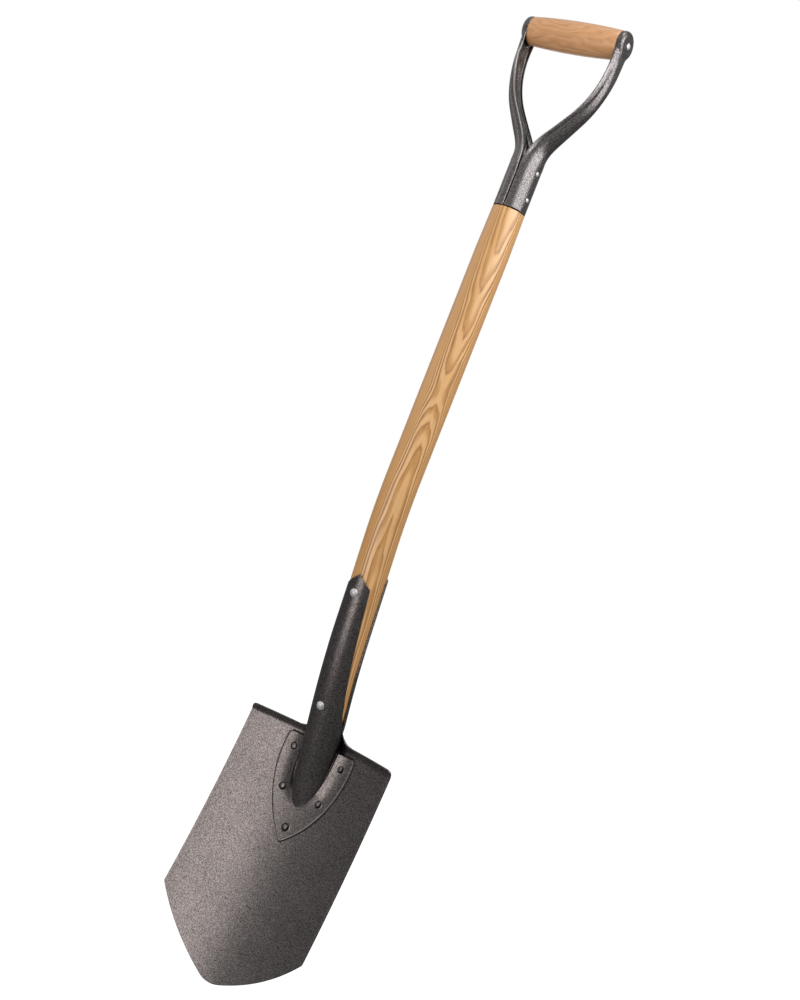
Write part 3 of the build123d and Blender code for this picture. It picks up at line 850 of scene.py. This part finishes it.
def makeStrap():
    size = strapSizes
    radius, fillet = size["radius"], size["domeFillet"]
    arcSteps, wallSteps, filletSteps, plateSteps, skirtSteps = size["columns"]

    def fallOff(share):
        # height of the paint's skirt, from the plate's face down to the blade
        end, steepShare = size["skirtSteep"]
        steep = 1 - smoothStep(np.minimum(share / end, 1))
        height = size["gap"] + size["sheet"] + size["skirtSink"]
        return height * (steepShare * steep + (1 - steepShare) * (1 - share)) - size["skirtSink"]

    def tube(y, stretch, spread):
        angles = spread * np.arange(arcSteps + 1) / arcSteps
        return radius * np.sin(angles), y - stretch * radius * np.cos(angles)

    def section(z, withPlate, share):
        # right half of a level cut: arc, wall, then with the plate its fillet, flat and skirt
        y, stretch = crossing(frontRoute, z)
        lift = fallOff(share) if withPlate else size["gap"]
        level = float(faceY(0, z)) - lift
        ahead = (level - y) / stretch
        upright = not withPlate or ahead >= fillet

        def sag(x):
            return faceY(x, z) - faceY(0, z)

        filletX, spread = radius + fillet, pi / 2
        if not upright:
            filletX = sqrt(max((radius + fillet) ** 2 - (fillet - ahead) ** 2, 0.0))
            spread = asin(min(1, filletX / (radius + fillet)))
        xs, ys = tube(y, stretch, spread)
        if ahead <= -radius:
            xs, ys = np.zeros(arcSteps + 1), np.full(arcSteps + 1, level)
        if upright:
            part = np.arange(1, wallSteps + 1) / wallSteps
            wallX = np.full(wallSteps, radius)
            wallY = y + stretch * (ahead - fillet if withPlate else ahead) * part + sag(radius) * part
        else:
            turned = spread * np.arange(arcSteps + 1) / arcSteps / max(spread, 1e-6)
            ys = ys + sag(xs) * turned ** size["sagPower"]
            wallX, wallY = np.full(wallSteps, xs[-1]), np.full(wallSteps, ys[-1])
        xs, ys = np.concatenate([xs, wallX]), np.concatenate([ys, wallY])
        if not withPlate:
            return xs, ys
        start = 1.5 * pi - spread
        turn = np.linspace(start, 1.5 * pi, filletSteps + 1)[1:]
        if ahead <= -radius:
            filletX = 0.0
            moreX, moreY = np.zeros(filletSteps), np.full(filletSteps, level)
        else:
            # the fillet's arc, its heights measured from the plate towards the front
            moreX = filletX + fillet * np.cos(turn)
            moreY = level - stretch * (fillet + fillet * np.sin(turn)) + sag(moreX)
        swell = size["swell"] * min(1, max(0, (ahead + radius) / size["swellStart"])) * (1 - share)
        moreY = moreY - swell * (turn - start) / max(spread, 1e-6)
        edge = plateEdge(max(-size["plateTip"] + size["tipInset"], min(z, -size["plateTop"])))
        edge = max(edge, filletX + size["least"])
        flatX = filletX + (edge - filletX) * np.arange(1, plateSteps + 1) / plateSteps
        bare = smoothStep((flatX - filletX) / max(edge - filletX, size["leastFlat"]))
        flatY = level + sag(flatX) - swell * np.exp(-(flatX - filletX) / size["swellReach"]) * (1 - bare)
        outward = np.arange(1, skirtSteps + 1) / skirtSteps
        skirtX = edge + size["skirt"] * outward
        skirtY = level + (lift - np.minimum(lift, fallOff(outward))) + sag(skirtX)
        return np.concatenate([xs, moreX, flatX, skirtX]), np.concatenate([ys, moreY, flatY, skirtY])

    # the tapered tube above the neck
    rows = []
    top, shoulder = -size["topDrop"], -size["topDrop"] - size["point"]
    first, count = size["pointRows"]
    fall = np.linspace(first, size["point"], count)
    fall = np.concatenate([fall, np.linspace(size["point"], top - webTop, size["tubeRows"])[1:]])
    for z in top - fall:
        wide = size["topWidth"] * (top - z) / size["point"]
        if z <= shoulder:
            share = min(1, (shoulder - z) / (shoulder - webTop - size["closing"]))
            wide = size["topWidth"] + (radius - size["topWidth"]) * share
        rows.append(bothSides(*tube(*crossing(frontRoute, z), asin(min(1, wide / radius))), z))
    # straight walls down to the blade, then the dome on its plate, with a skirt over and under it
    plateTop, plateTip, corner = -size["plateTop"], -size["plateTip"], size["plateCorner"]
    marks = (plateTop, plateTop - corner, plateTip + corner, plateTip + size["tipInset"])
    levels = [plateTop]
    for start, end, count in zip(marks, marks[1:], size["plateRows"]):
        levels += list(np.linspace(start, end, count)[1:])
    shares = np.linspace(0, 1, skirtSteps + 1)[1:]
    plan = [(z, False, 0.0) for z in np.linspace(webTop, plateTop + size["skirt"], size["wallRows"])[1:-1]]
    plan += [(plateTop + size["skirt"] * share, True, share) for share in shares[::-1]]
    plan += [(z, True, 0.0) for z in levels]
    plan += [(levels[-1] - size["skirt"] * share, True, share) for share in shares]
    rows += [bothSides(*section(*cut), cut[0]) for cut in plan]
    points, faces = sheetFromGrid(rows, size["sheet"])
    piece = softenRims(plainMesh("frontStrap", points, faces, coatMaterial), size["rim"])
    # a painted shadow line where the plate's edge meets the blade
    x, y, z = readSpots(piece).T.astype(float) / mm
    line = np.clip(1 - (faceY(x, z) - y) / size["outline"], 0, 1) * (z < plateTop + size["skirt"])
    storeValues(piece, "hollow", line)
    # a painted highlight along the plate's rim, stronger on its right side
    inPlate = (z < plateTop) & (z > plateTip + size["glintEnd"])
    edge = np.array([plateEdge(level) if held else 0 for level, held in zip(z, inPlate)])
    rim = hump(np.abs(x) - edge, size["glintAt"], size["glintWidth"])
    storeValues(piece, "rubbed", np.where(x < 0, *size["glintSides"]) * rim * inPlate)
    return piece


frontStrap = makeStrap()
print("strap", len(frontStrap.data.polygons), "faces")


# Yoke: the two pressed halves, with their lips and the eyes' roots rolled soft.
# A span is the drop where it starts, its run-in, the drop where it ends and its run-out.
yokeSizes = dict(
    weld=0.01,
    voxel=0.52,
    softSteps=4,
    softness=0.5,
    seamOpen=0.12,
    seamReach=3.0,
    armLine=((0.15, -199.0), (0.15, -129.5), (51.0, -60.0), (54.43, -4.0)),
    armRadii=(60.0, 121.0),
    armSpan=(16.0, 16.0, 160.0, 32.0),
    seamSpan=(128.0, 32.0, 204.0, 12.0),
    beadAt=2.7,
    beadWidth=1.6,
    beadLift=1.45,
    creaseAt=6.2,
    creaseWidth=1.5,
    creaseDepth=0.6,
    creaseShade=0.56,
    turnIn=2.3,
    turnInReach=2.0,
    seamRoll=2.3,
    seamRollReach=6.0,
    glintBead=0.8,
    glintWidth=0.9,
    rootOutside=56.5,
    rootDrop=16.0,
    rootReach=14.0,
    rootSteps=45,
    rootPull=0.6,
)
armRoute = roundedRoute(yokeSizes["armLine"], yokeSizes["armRadii"])


def makeYokeHalf(name, nodeName):
    size = yokeSizes
    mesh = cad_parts[nodeName].data.copy()
    mesh.name = name
    piece = addObject(name, mesh)
    weld = piece.modifiers.new("weld", "WELD")
    weld.merge_threshold = size["weld"] * mm
    press = piece.modifiers.new("press", "REMESH")
    press.mode = "VOXEL"
    press.voxel_size = size["voxel"] * mm
    soft = piece.modifiers.new("soft", "SMOOTH")
    soft.factor = size["softness"]
    soft.iterations = size["softSteps"]
    flatten(piece)
    # the pressed edges draw back from the seam
    spots = readSpots(piece)
    side = copysign(1, spots[:, 0].mean())
    near = np.clip(1 - np.abs(spots[:, 0]) / (size["seamReach"] * mm), 0, 1)
    spots[:, 0] += side * size["seamOpen"] * mm * near

    def span(key):
        start, rise, end, fall = size[key]
        return np.clip((drop - start) / rise, 0, 1) * np.clip((end - drop) / fall, 0, 1)

    def rolledIn(depth, reach):
        return depth * np.clip(1 - behindLips / reach, 0, 1) ** 2

    drop = -spots[:, 2] / mm
    behindLips = spots[:, 0] * side / mm - routeAt(armRoute, -drop)[0]
    # along the arms a round bead with a crease behind it edges the lips,
    # and along the seam they only roll inwards
    onArm = span("armSpan")
    crease = hump(behindLips, size["creaseAt"], size["creaseWidth"])
    bead = hump(behindLips, size["beadAt"], size["beadWidth"])
    raised = size["beadLift"] * bead - size["creaseDepth"] * crease
    raised = (raised - rolledIn(size["turnIn"], size["turnInReach"])) * onArm
    raised -= rolledIn(size["seamRoll"], size["seamRollReach"]) * span("seamSpan")
    spots[:, 1] += np.sign(spots[:, 1]) * raised * mm
    # painted shade along the crease behind the bead
    storeValues(piece, "hollow", size["creaseShade"] * crease * onArm)
    # painted highlight along the bead's crest
    rubbed = hump(behindLips, size["beadAt"], size["glintWidth"])
    storeValues(piece, "rubbed", size["glintBead"] * onArm * rubbed)
    # the arm runs out into the eye without a crease
    links = np.empty(len(piece.data.edges) * 2, np.int32)
    piece.data.edges.foreach_get("vertices", links)
    ends = np.concatenate([links[0::2], links[1::2]])
    others = np.concatenate([links[1::2], links[0::2]])
    degree = np.maximum(np.bincount(ends, minlength=len(spots)), 1)
    root = np.clip(1 - np.abs(spots[:, 2] + size["rootDrop"] * mm) / (size["rootReach"] * mm), 0, 1)
    root = root * (spots[:, 0] * side > size["rootOutside"] * mm)
    for step in range(size["rootSteps"]):
        for axis in range(3):
            mean = np.bincount(ends, weights=spots[others, axis], minlength=len(spots)) / degree
            spots[:, axis] += size["rootPull"] * root * (mean - spots[:, axis])
    moveSpots(piece, spots)
    piece.data.materials.clear()
    piece.data.materials.append(coatMaterial)
    piece.data.shade_smooth()
    return piece


leftArm = makeYokeHalf("leftYokeArm", "left_yoke_arm")
rightArm = makeYokeHalf("rightYokeArm", "right_yoke_arm")
print("yoke", len(leftArm.data.polygons), len(rightArm.data.polygons), "faces")


# Cross grip: a crowned barrel with its ends turned down into the eyes
gripSizes = dict(
    halfVisible=53.85,
    halfLength=60.15,
    endRadius=15.2,
    crownRadius=17.25,
    tenonRadius=13.45,
    chamfer=3.0,
    ease=0.7,
    around=96,
    crownSteps=26,
    easeSteps=6,
    sharpAngle=40,
)


def makeGrip():
    size = gripSizes
    count, ease, tenon = size["around"], size["ease"], size["tenonRadius"]
    rise = size["crownRadius"] - size["endRadius"]
    bow = (size["halfVisible"] ** 2 + rise**2) / (2 * rise)
    easeX, easeR = size["halfVisible"] - ease, size["endRadius"] - ease
    profile = []
    for x in np.linspace(0, easeX, size["crownSteps"]):
        profile.append((x, size["crownRadius"] - bow + sqrt(bow**2 - x**2)))
    for turn in np.linspace(0, pi / 2, size["easeSteps"])[1:]:
        profile.append((easeX + ease * sin(turn), easeR + ease * cos(turn)))
    profile.append((size["halfVisible"], tenon))
    profile.append((size["halfLength"] - size["chamfer"], tenon))
    profile.append((size["halfLength"], tenon - size["chamfer"]))
    profile = [(-x, r) for x, r in profile[:0:-1]] + profile
    turns = np.linspace(0, 2 * pi, count, endpoint=False)
    points = [(x, r * sin(turn), r * cos(turn)) for x, r in profile for turn in turns]
    faces = []
    for start in range(0, (len(profile) - 1) * count, count):
        for i in range(count):
            j = (i + 1) % count
            faces.append((start + i, start + j, start + count + j, start + count + i))
    faces.append(tuple(range(count))[::-1])
    faces.append(tuple(range(len(points) - count, len(points))))
    return shadeSmooth(plainMesh("gripBarrel", points, faces, gripMaterial), size["sharpAngle"])


gripBarrel = makeGrip()
print("grip", len(gripBarrel.data.polygons), "faces")


# Rivets: a shank with a head at each end, set on points that carry the way they face.
# Heads and tails are a radius and a height. A button head has a raised knob with a painted shade ring
# around it, in shares of the radius.
buttonShape = dict(
    foot=(0.16, 0.14),
    knob=(0.80, 0.40),
    knobLift=0.70,
    shadeRingInside=(0.46, 0.64),
    shadeRingOutside=(0.88, 0.76),
)
rivetSteps = dict(dome=40, shank=24, sharpAngle=50)


def rivetTree():
    sizes = [part + size for part in ("Head", "Tail") for size in (" radius", " height")]
    sizes += ["Shank radius", "Grip", "Crown", "Button"]
    tree, keys, given = newGeometryTree("rivetsOnPoints", sizes)
    add, minus, times, timesAdd = sums(tree, "ADD", "SUBTRACT", "MULTIPLY", "MULTIPLY_ADD")
    shape = buttonShape

    def dome(radius, height):
        # the upper half of a ball raised to a plain or a button head, the lower half flat
        steps = rivetSteps["dome"]
        ball = node(tree, "GeometryNodeMeshUVSphere", Segments=steps, Rings=steps, Radius=1.0)
        x, y, z = node(tree, "ShaderNodeSeparateXYZ", positionNode(tree)).outputs
        square = add(times(x, x), times(y, y))
        reach = mathNode(tree, "SQRT", square)
        plain = mathNode(tree, "MAXIMUM", minus(1.0, square), 0.0)
        plain = mathNode(tree, "POWER", plain, given["Crown"])
        cone, belly = shape["foot"]
        button = timesAdd(minus(1.0, reach), cone, times(plain, belly))
        button = timesAdd(fadeNode(tree, reach, *shape["knob"]), shape["knobLift"], button)
        # painted shade ring around the knob, stored for the coat to darken
        shadeRing = fadeNode(tree, reach, *shape["shadeRingInside"])
        shadeRing = times(shadeRing, fadeNode(tree, reach, *shape["shadeRingOutside"]))
        marked = storeNode(tree, ball.outputs["Mesh"], "hollow", times(shadeRing, given["Button"]))
        rise = timesAdd(minus(button, plain), given["Button"], plain)
        lift = times(times(rise, mathNode(tree, "GREATER_THAN", z, 0.0)), height)
        spot = node(tree, "ShaderNodeCombineXYZ", times(x, radius), times(y, radius), lift).outputs[0]
        return node(tree, "GeometryNodeSetPosition", Geometry=marked, Position=spot).outputs[0]

    def moved(geometry, drop, turn):
        put = node(tree, "ShaderNodeCombineXYZ", None, None, drop).outputs[0]
        inputs = {"Geometry": geometry, "Translation": put, "Rotation": (turn, 0, 0)}
        return node(tree, "GeometryNodeTransform", **inputs).outputs[0]

    head = dome(given["Head radius"], given["Head height"])
    tail = moved(dome(given["Tail radius"], given["Tail height"]), times(given["Grip"], -1.0), pi)
    rod = {"Vertices": rivetSteps["shank"], "Radius": given["Shank radius"], "Depth": given["Grip"]}
    rod = node(tree, "GeometryNodeMeshCylinder", **rod).outputs["Mesh"]
    shank = moved(rod, times(given["Grip"], -0.5), 0.0)
    joined = tree.nodes.new("GeometryNodeJoinGeometry")
    for part in (head, tail, shank):
        fill(tree, joined.inputs[0], part)
    aim = readNode(tree, "aim", "FLOAT_VECTOR")
    turn = node(tree, "FunctionNodeAlignRotationToVector", setup={"axis": "Z"}, Vector=aim).outputs[0]
    spots = node(tree, "GeometryNodeMeshToPoints", Mesh=given["Geometry"]).outputs[0]
    inputs = {"Points": spots, "Instance": joined.outputs[0], "Rotation": turn}
    finishTree(tree, given, node(tree, "GeometryNodeInstanceOnPoints", **inputs).outputs[0])
    return tree, keys


rivetNodes, rivetKeys = rivetTree()


def setRivets(name, places, sizes, material):
    mesh = bpy.data.meshes.new(name)
    mesh.from_pydata([tuple(np.array(place) * mm) for place, aim in places], [], [])
    facing = mesh.attributes.new("aim", "FLOAT_VECTOR", "POINT")
    for item, (place, aim) in zip(facing.data, places):
        item.vector = aim
    values = {"Crown": sizes["crown"], "Button": sizes["button"]}
    for key in ("head", "tail"):
        values[key.capitalize() + " radius"] = sizes[key][0] * mm
        values[key.capitalize() + " height"] = sizes[key][1] * mm
    values["Shank radius"] = sizes["shank"] * mm
    values["Grip"] = sizes["grip"] * mm
    piece = growPiece(addObject(name, mesh), rivetNodes, rivetKeys, values, material)
    return shadeSmooth(piece, rivetSteps["sharpAngle"])


domedHead = dict(crown=0.62, button=0.0)
plateRivetSizes = dict(
    head=(5.6, 2.6),
    tail=(4.2, 1.2),
    shank=2.5,
    grip=3.4,
    crown=1.0,
    button=1.0,
    lift=1.75,
    places=((32.3, 824.1), (-32.3, 824.1), (24.8, 867.6), (-24.8, 867.6), (0, 905.4)),
)
strapRivetSizes = dict(
    domedHead,
    head=(4.8, 3.0),
    tail=(4.5, 3.0),
    shank=2.75,
    grip=41.5,
    lift=20.7,
    drops=(636.0, 760.4),
)
yokeRivetSizes = dict(
    domedHead,
    head=(2.5, 1.1),
    tail=(2.5, 1.1),
    shank=1.75,
    grip=36.1,
    lift=18.05,
    swing=8.0,
    drops=(154.5, 184.7),
)
gripPinSizes = dict(
    domedHead,
    head=(3.5, 1.6),
    tail=(3.5, 1.6),
    shank=2.5,
    grip=124.1,
    lift=62.05,
)


def facePlace(across, drop, lift):
    # place and outward way on the blade's face
    fall = -drop - bowCentreZ
    reach = sqrt(bladeSizes["bowRadius"] ** 2 - fall**2)
    swing = asin(across / (bowCentreR + reach))
    way = np.array((-reach * sin(swing), -reach * cos(swing), -fall))
    way /= np.linalg.norm(way)
    return np.array((across, float(faceY(across, -drop)), -drop)) + way * lift, way


def routePlace(route, drop, lift):
    # place and forward way in front of a route
    y, slope = routeAt(route, -drop)
    way = np.array((0, -1, slope)) / sqrt(1 + slope**2)
    return np.array((0, y, -drop)) + way * lift, way


def yokePlace(swing, drop, lift):
    # place and way at the side of the yoke's socket, swung towards the front
    way = np.array((cos(radians(swing)), -sin(radians(swing)), 0))
    return np.array((0, 0, -drop)) + way * lift, way


plateSpots = [facePlace(x, drop, plateRivetSizes["lift"]) for x, drop in plateRivetSizes["places"]]
strapSpots = [routePlace(frontRoute, drop, strapRivetSizes["lift"]) for drop in strapRivetSizes["drops"]]
yokeSpots = [
    yokePlace(yokeRivetSizes["swing"], drop, yokeRivetSizes["lift"])
    for drop in yokeRivetSizes["drops"]
]
pinSpots = [yokePlace(0, 0, gripPinSizes["lift"])]
plateRivets = setRivets("plateRivets", plateSpots, plateRivetSizes, coatMaterial)
strapRivets = setRivets("strapRivets", strapSpots, strapRivetSizes, zincMaterial)
yokeRivets = setRivets("yokeRivets", yokeSpots, yokeRivetSizes, zincMaterial)
gripPin = setRivets("gripPin", pinSpots, gripPinSizes, zincMaterial)
print("rivets", [len(piece.data.polygons) for piece in (plateRivets, strapRivets, yokeRivets, gripPin)])


# Folds: painted shade, each point's colour darkened by how far it is shut in by what is around it
foldSizes = dict(reach=24.0, rays=26, lift=0.4, armStrength=1.08, rootStrength=1.5, shaftStrength=1.0)


def foldTree(around):
    tree, keys, given = newGeometryTree("foldShade", ("Reach", "Strength"))
    add, times, timesAdd = sums(tree, "ADD", "MULTIPLY", "MULTIPLY_ADD")
    walls = node(tree, "GeometryNodeJoinGeometry", given["Geometry"])
    for piece in around:
        seen = node(tree, "GeometryNodeObjectInfo", Object=piece)
        fill(tree, walls.inputs[0], seen.outputs["Geometry"])
    facing = tree.nodes.new("GeometryNodeInputNormal").outputs[0]
    lifted = vectorNode(tree, "SCALE", facing, scale=foldSizes["lift"] * mm)
    start = vectorNode(tree, "ADD", positionNode(tree), lifted)
    hits, weights = 0.0, 0.0
    golden = pi * (3 - sqrt(5))
    for i in range(foldSizes["rays"]):
        height = 1 - (2 * i + 1) / foldSizes["rays"]
        ring = sqrt(1 - height**2)
        way = (ring * cos(golden * i), ring * sin(golden * i), height)
        slant = vectorNode(tree, "DOT_PRODUCT", facing, way)
        inputs = {
            "Target Geometry": walls.outputs[0],
            "Source Position": start,
            "Ray Direction": vectorNode(tree, "SCALE", way, scale=mathNode(tree, "SIGN", slant)),
            "Ray Length": given["Reach"],
        }
        ray = node(tree, "GeometryNodeRaycast", **inputs)
        weight = mathNode(tree, "ABSOLUTE", slant)
        hits = timesAdd(ray.outputs["Is Hit"], weight, hits)
        weights = add(weight, weights)
    share = times(mathNode(tree, "DIVIDE", hits, weights), given["Strength"])
    darkest = mathNode(tree, "MAXIMUM", readNode(tree, "hollow"), share)
    finishTree(tree, given, storeNode(tree, given["Geometry"], "hollow", darkest))
    return tree, keys


for piece, around, material, strength in (
    (bladePan, (frontStrap,), coatMaterial, "rootStrength"),
    (frontStrap, (bladePan,), coatMaterial, "rootStrength"),
    (leftArm, (rightArm,), coatMaterial, "armStrength"),
    (rightArm, (leftArm,), coatMaterial, "armStrength"),
    (ashShaft, (leftArm, rightArm, frontStrap, bladePan), shaftMaterial, "shaftStrength"),
):
    sizes = {"Reach": foldSizes["reach"] * mm, "Strength": foldSizes[strength]}
    growPiece(piece, *foldTree(around), sizes, material)
print("folds shaded")

for piece, nodes, finish in (
    (ashShaft, ("shaft",), "ash_wood"),
    (bladePan, ("blade",), "coated_steel"),
    (frontStrap, ("front_strap",), "coated_steel"),
    (leftArm, ("left_yoke_arm",), "coated_steel"),
    (rightArm, ("right_yoke_arm",), "coated_steel"),
    (gripBarrel, ("cross_grip",), "ash_wood"),
    (plateRivets, ("plate_rivets",), "coated_steel"),
    (strapRivets, ("strap_rivet_upper", "strap_rivet_lower"), "bright_steel"),
    (yokeRivets, ("yoke_rivets",), "bright_steel"),
    (gripPin, ("grip_pin",), "bright_steel"),
):
    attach(piece, "root")
    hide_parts(*nodes)
print("pieces ride on the root")


# Studio: a pale floor below the hanging spade, four soft boxes and a white surround.
# A box is its azimuth, distance, height, aimed height, width, height of its face, power and tint.
studio = dict(
    floorDrop=1.42,
    floorHalf=6.0,
    floorRough=0.9,
    floorGrey=((0.2, 0.2, 0.2), (0.06, 0.06, 0.06)),
    floorGlow=0.5,
    floorSeen=0.45,
    floorMirrored=(0.17, -0.48),
    patch=(-0.4, -2.4),
    patchEdges=(1.9, 0.2),
    ambient=0.78,
    riseEdges=(-0.02, 0.28),
    riseLight=(0.11, 0.45),
    toBack=(-0.5, 0.866, 0.0),
    backEdges=(0.86, 0.98),
    toRight=(0.866, 0.5, 0.0),
    rightEdges=(-0.2, 0.6),
    rightLight=(1.0, 0.4),
    boxes={
        "frontBox": (-7, 1.7, -0.88, -0.88, 1.0, 0.76, 4.6, (1.0, 0.925, 0.90)),
        "rightBox": (74, 0.55, 0.16, 0.16, 0.75, 0.68, 4.3, (0.97, 0.98, 1.0)),
        "topBox": (10, 0.35, 1.3, 0.0, 0.7, 0.7, 4, (1.0, 0.99, 0.98)),
        "leftBox": (-72, 0.75, -0.1, -0.1, 0.5, 0.6, 0.4, (1.0, 0.98, 0.97)),
    },
)


def makeFloor():
    half, z = studio["floorHalf"], -studio["floorDrop"]
    mesh = bpy.data.meshes.new("studioFloor")
    corners = [(-half, -half, z), (half, -half, z), (half, half, z), (-half, half, z)]
    mesh.from_pydata(corners, [], [(0, 1, 2, 3)])
    floor = addObject("studioFloor", mesh)
    pale, tree, shader = newMaterial("paleFloor")
    add, times, timesAdd = sums(tree, "ADD", "MULTIPLY", "MULTIPLY_ADD")
    rays, mirrored = mirroredRays(tree)
    # metal mirrors a darker floor, with a brighter patch in front of the spade
    away = vectorNode(tree, "DISTANCE", objectPlace(tree), (*studio["patch"], z))
    patch = fadeNode(tree, away, *studio["patchEdges"])
    glow = add(times(mirrored, timesAdd(patch, *studio["floorMirrored"])), studio["floorGlow"])
    glow = timesAdd(rays["Is Camera Ray"], studio["floorSeen"], glow)
    grey = mixColour(tree, mirrored, *studio["floorGrey"])
    fillAll(tree, shader, Base_Color=grey, Roughness=studio["floorRough"], Specular_IOR_Level=0.0)
    fillAll(tree, shader, Emission_Color=(1, 1, 1), Emission_Strength=glow)
    mesh.materials.append(pale)


def makeBox(name, azimuth, distance, height, aim, wide, tall, power, tint):
    light = bpy.data.lights.new(name, "AREA")
    light.shape = "RECTANGLE"
    light.size = wide
    light.size_y = tall
    light.energy = power
    light.color = tint
    lamp = addObject(name, light)
    turn = radians(azimuth)
    lamp.location = (sin(turn) * distance, -cos(turn) * distance, height)
    lamp.rotation_euler = (Vector((0, 0, aim)) - lamp.location).to_track_quat("-Z", "Y").to_euler()


def makeSurround():
    # white behind the object for what is seen and mirrored, dim on the camera's side
    world = bpy.data.worlds.new("studioSurround")
    scene.world = world
    world.use_nodes = True
    tree = world.node_tree
    rays, mirrored = mirroredRays(tree)
    way = tree.nodes.new("ShaderNodeTexCoord").outputs["Generated"]
    upward = node(tree, "ShaderNodeSeparateXYZ", way).outputs[2]
    upward = rangeNode(tree, upward, *studio["riseEdges"], *studio["riseLight"])
    sideways = vectorNode(tree, "DOT_PRODUCT", way, studio["toRight"])
    sideways = rangeNode(tree, sideways, *studio["rightEdges"], *studio["rightLight"])
    behind = vectorNode(tree, "DOT_PRODUCT", way, studio["toBack"])
    behind = fadeNode(tree, behind, *studio["backEdges"], mathNode(tree, "MULTIPLY", upward, sideways))
    level = node(tree, "ShaderNodeMix", mirrored, A=studio["ambient"], B=behind).outputs[0]
    level = mathNode(tree, "MAXIMUM", rays["Is Camera Ray"], level)
    fillAll(tree, tree.nodes["Background"], Color=(1, 1, 1), Strength=level)


makeFloor()
for name, box in studio["boxes"].items():
    makeBox(name, *box)
makeSurround()

# Camera at the photograph's angle, rolled as the photograph is
photoView = dict(
    azimuth=30.0,
    elevation=-0.8046,
    roll=21.501,
    distance=1453.86,
    aside=5.13,
    level=-529.25,
    lens=49.13,
    sensor=36,
)


def makeCamera():
    view = photoView
    azimuth, elevation, roll = (radians(view[key]) for key in ("azimuth", "elevation", "roll"))
    level = cos(elevation)
    back = Vector((sin(azimuth) * level, -cos(azimuth) * level, sin(elevation)))
    right = Vector((cos(azimuth), sin(azimuth), 0))
    up = back.cross(right)
    place = (right * view["aside"] + Vector((0, 0, view["level"])) + back * view["distance"]) * mm
    rolledRight = right * cos(roll) + up * sin(roll)
    rolledUp = up * cos(roll) - right * sin(roll)
    lens = bpy.data.cameras.new("photoCamera")
    lens.lens = view["lens"]
    lens.sensor_fit = "VERTICAL"
    lens.sensor_height = view["sensor"]
    camera = addObject("photoCamera", lens)
    turned = Matrix((rolledRight, rolledUp, back)).transposed().to_4x4()
    camera.matrix_world = Matrix.Translation(place) @ turned
    scene.camera = camera


makeCamera()
print("studio and camera ready")
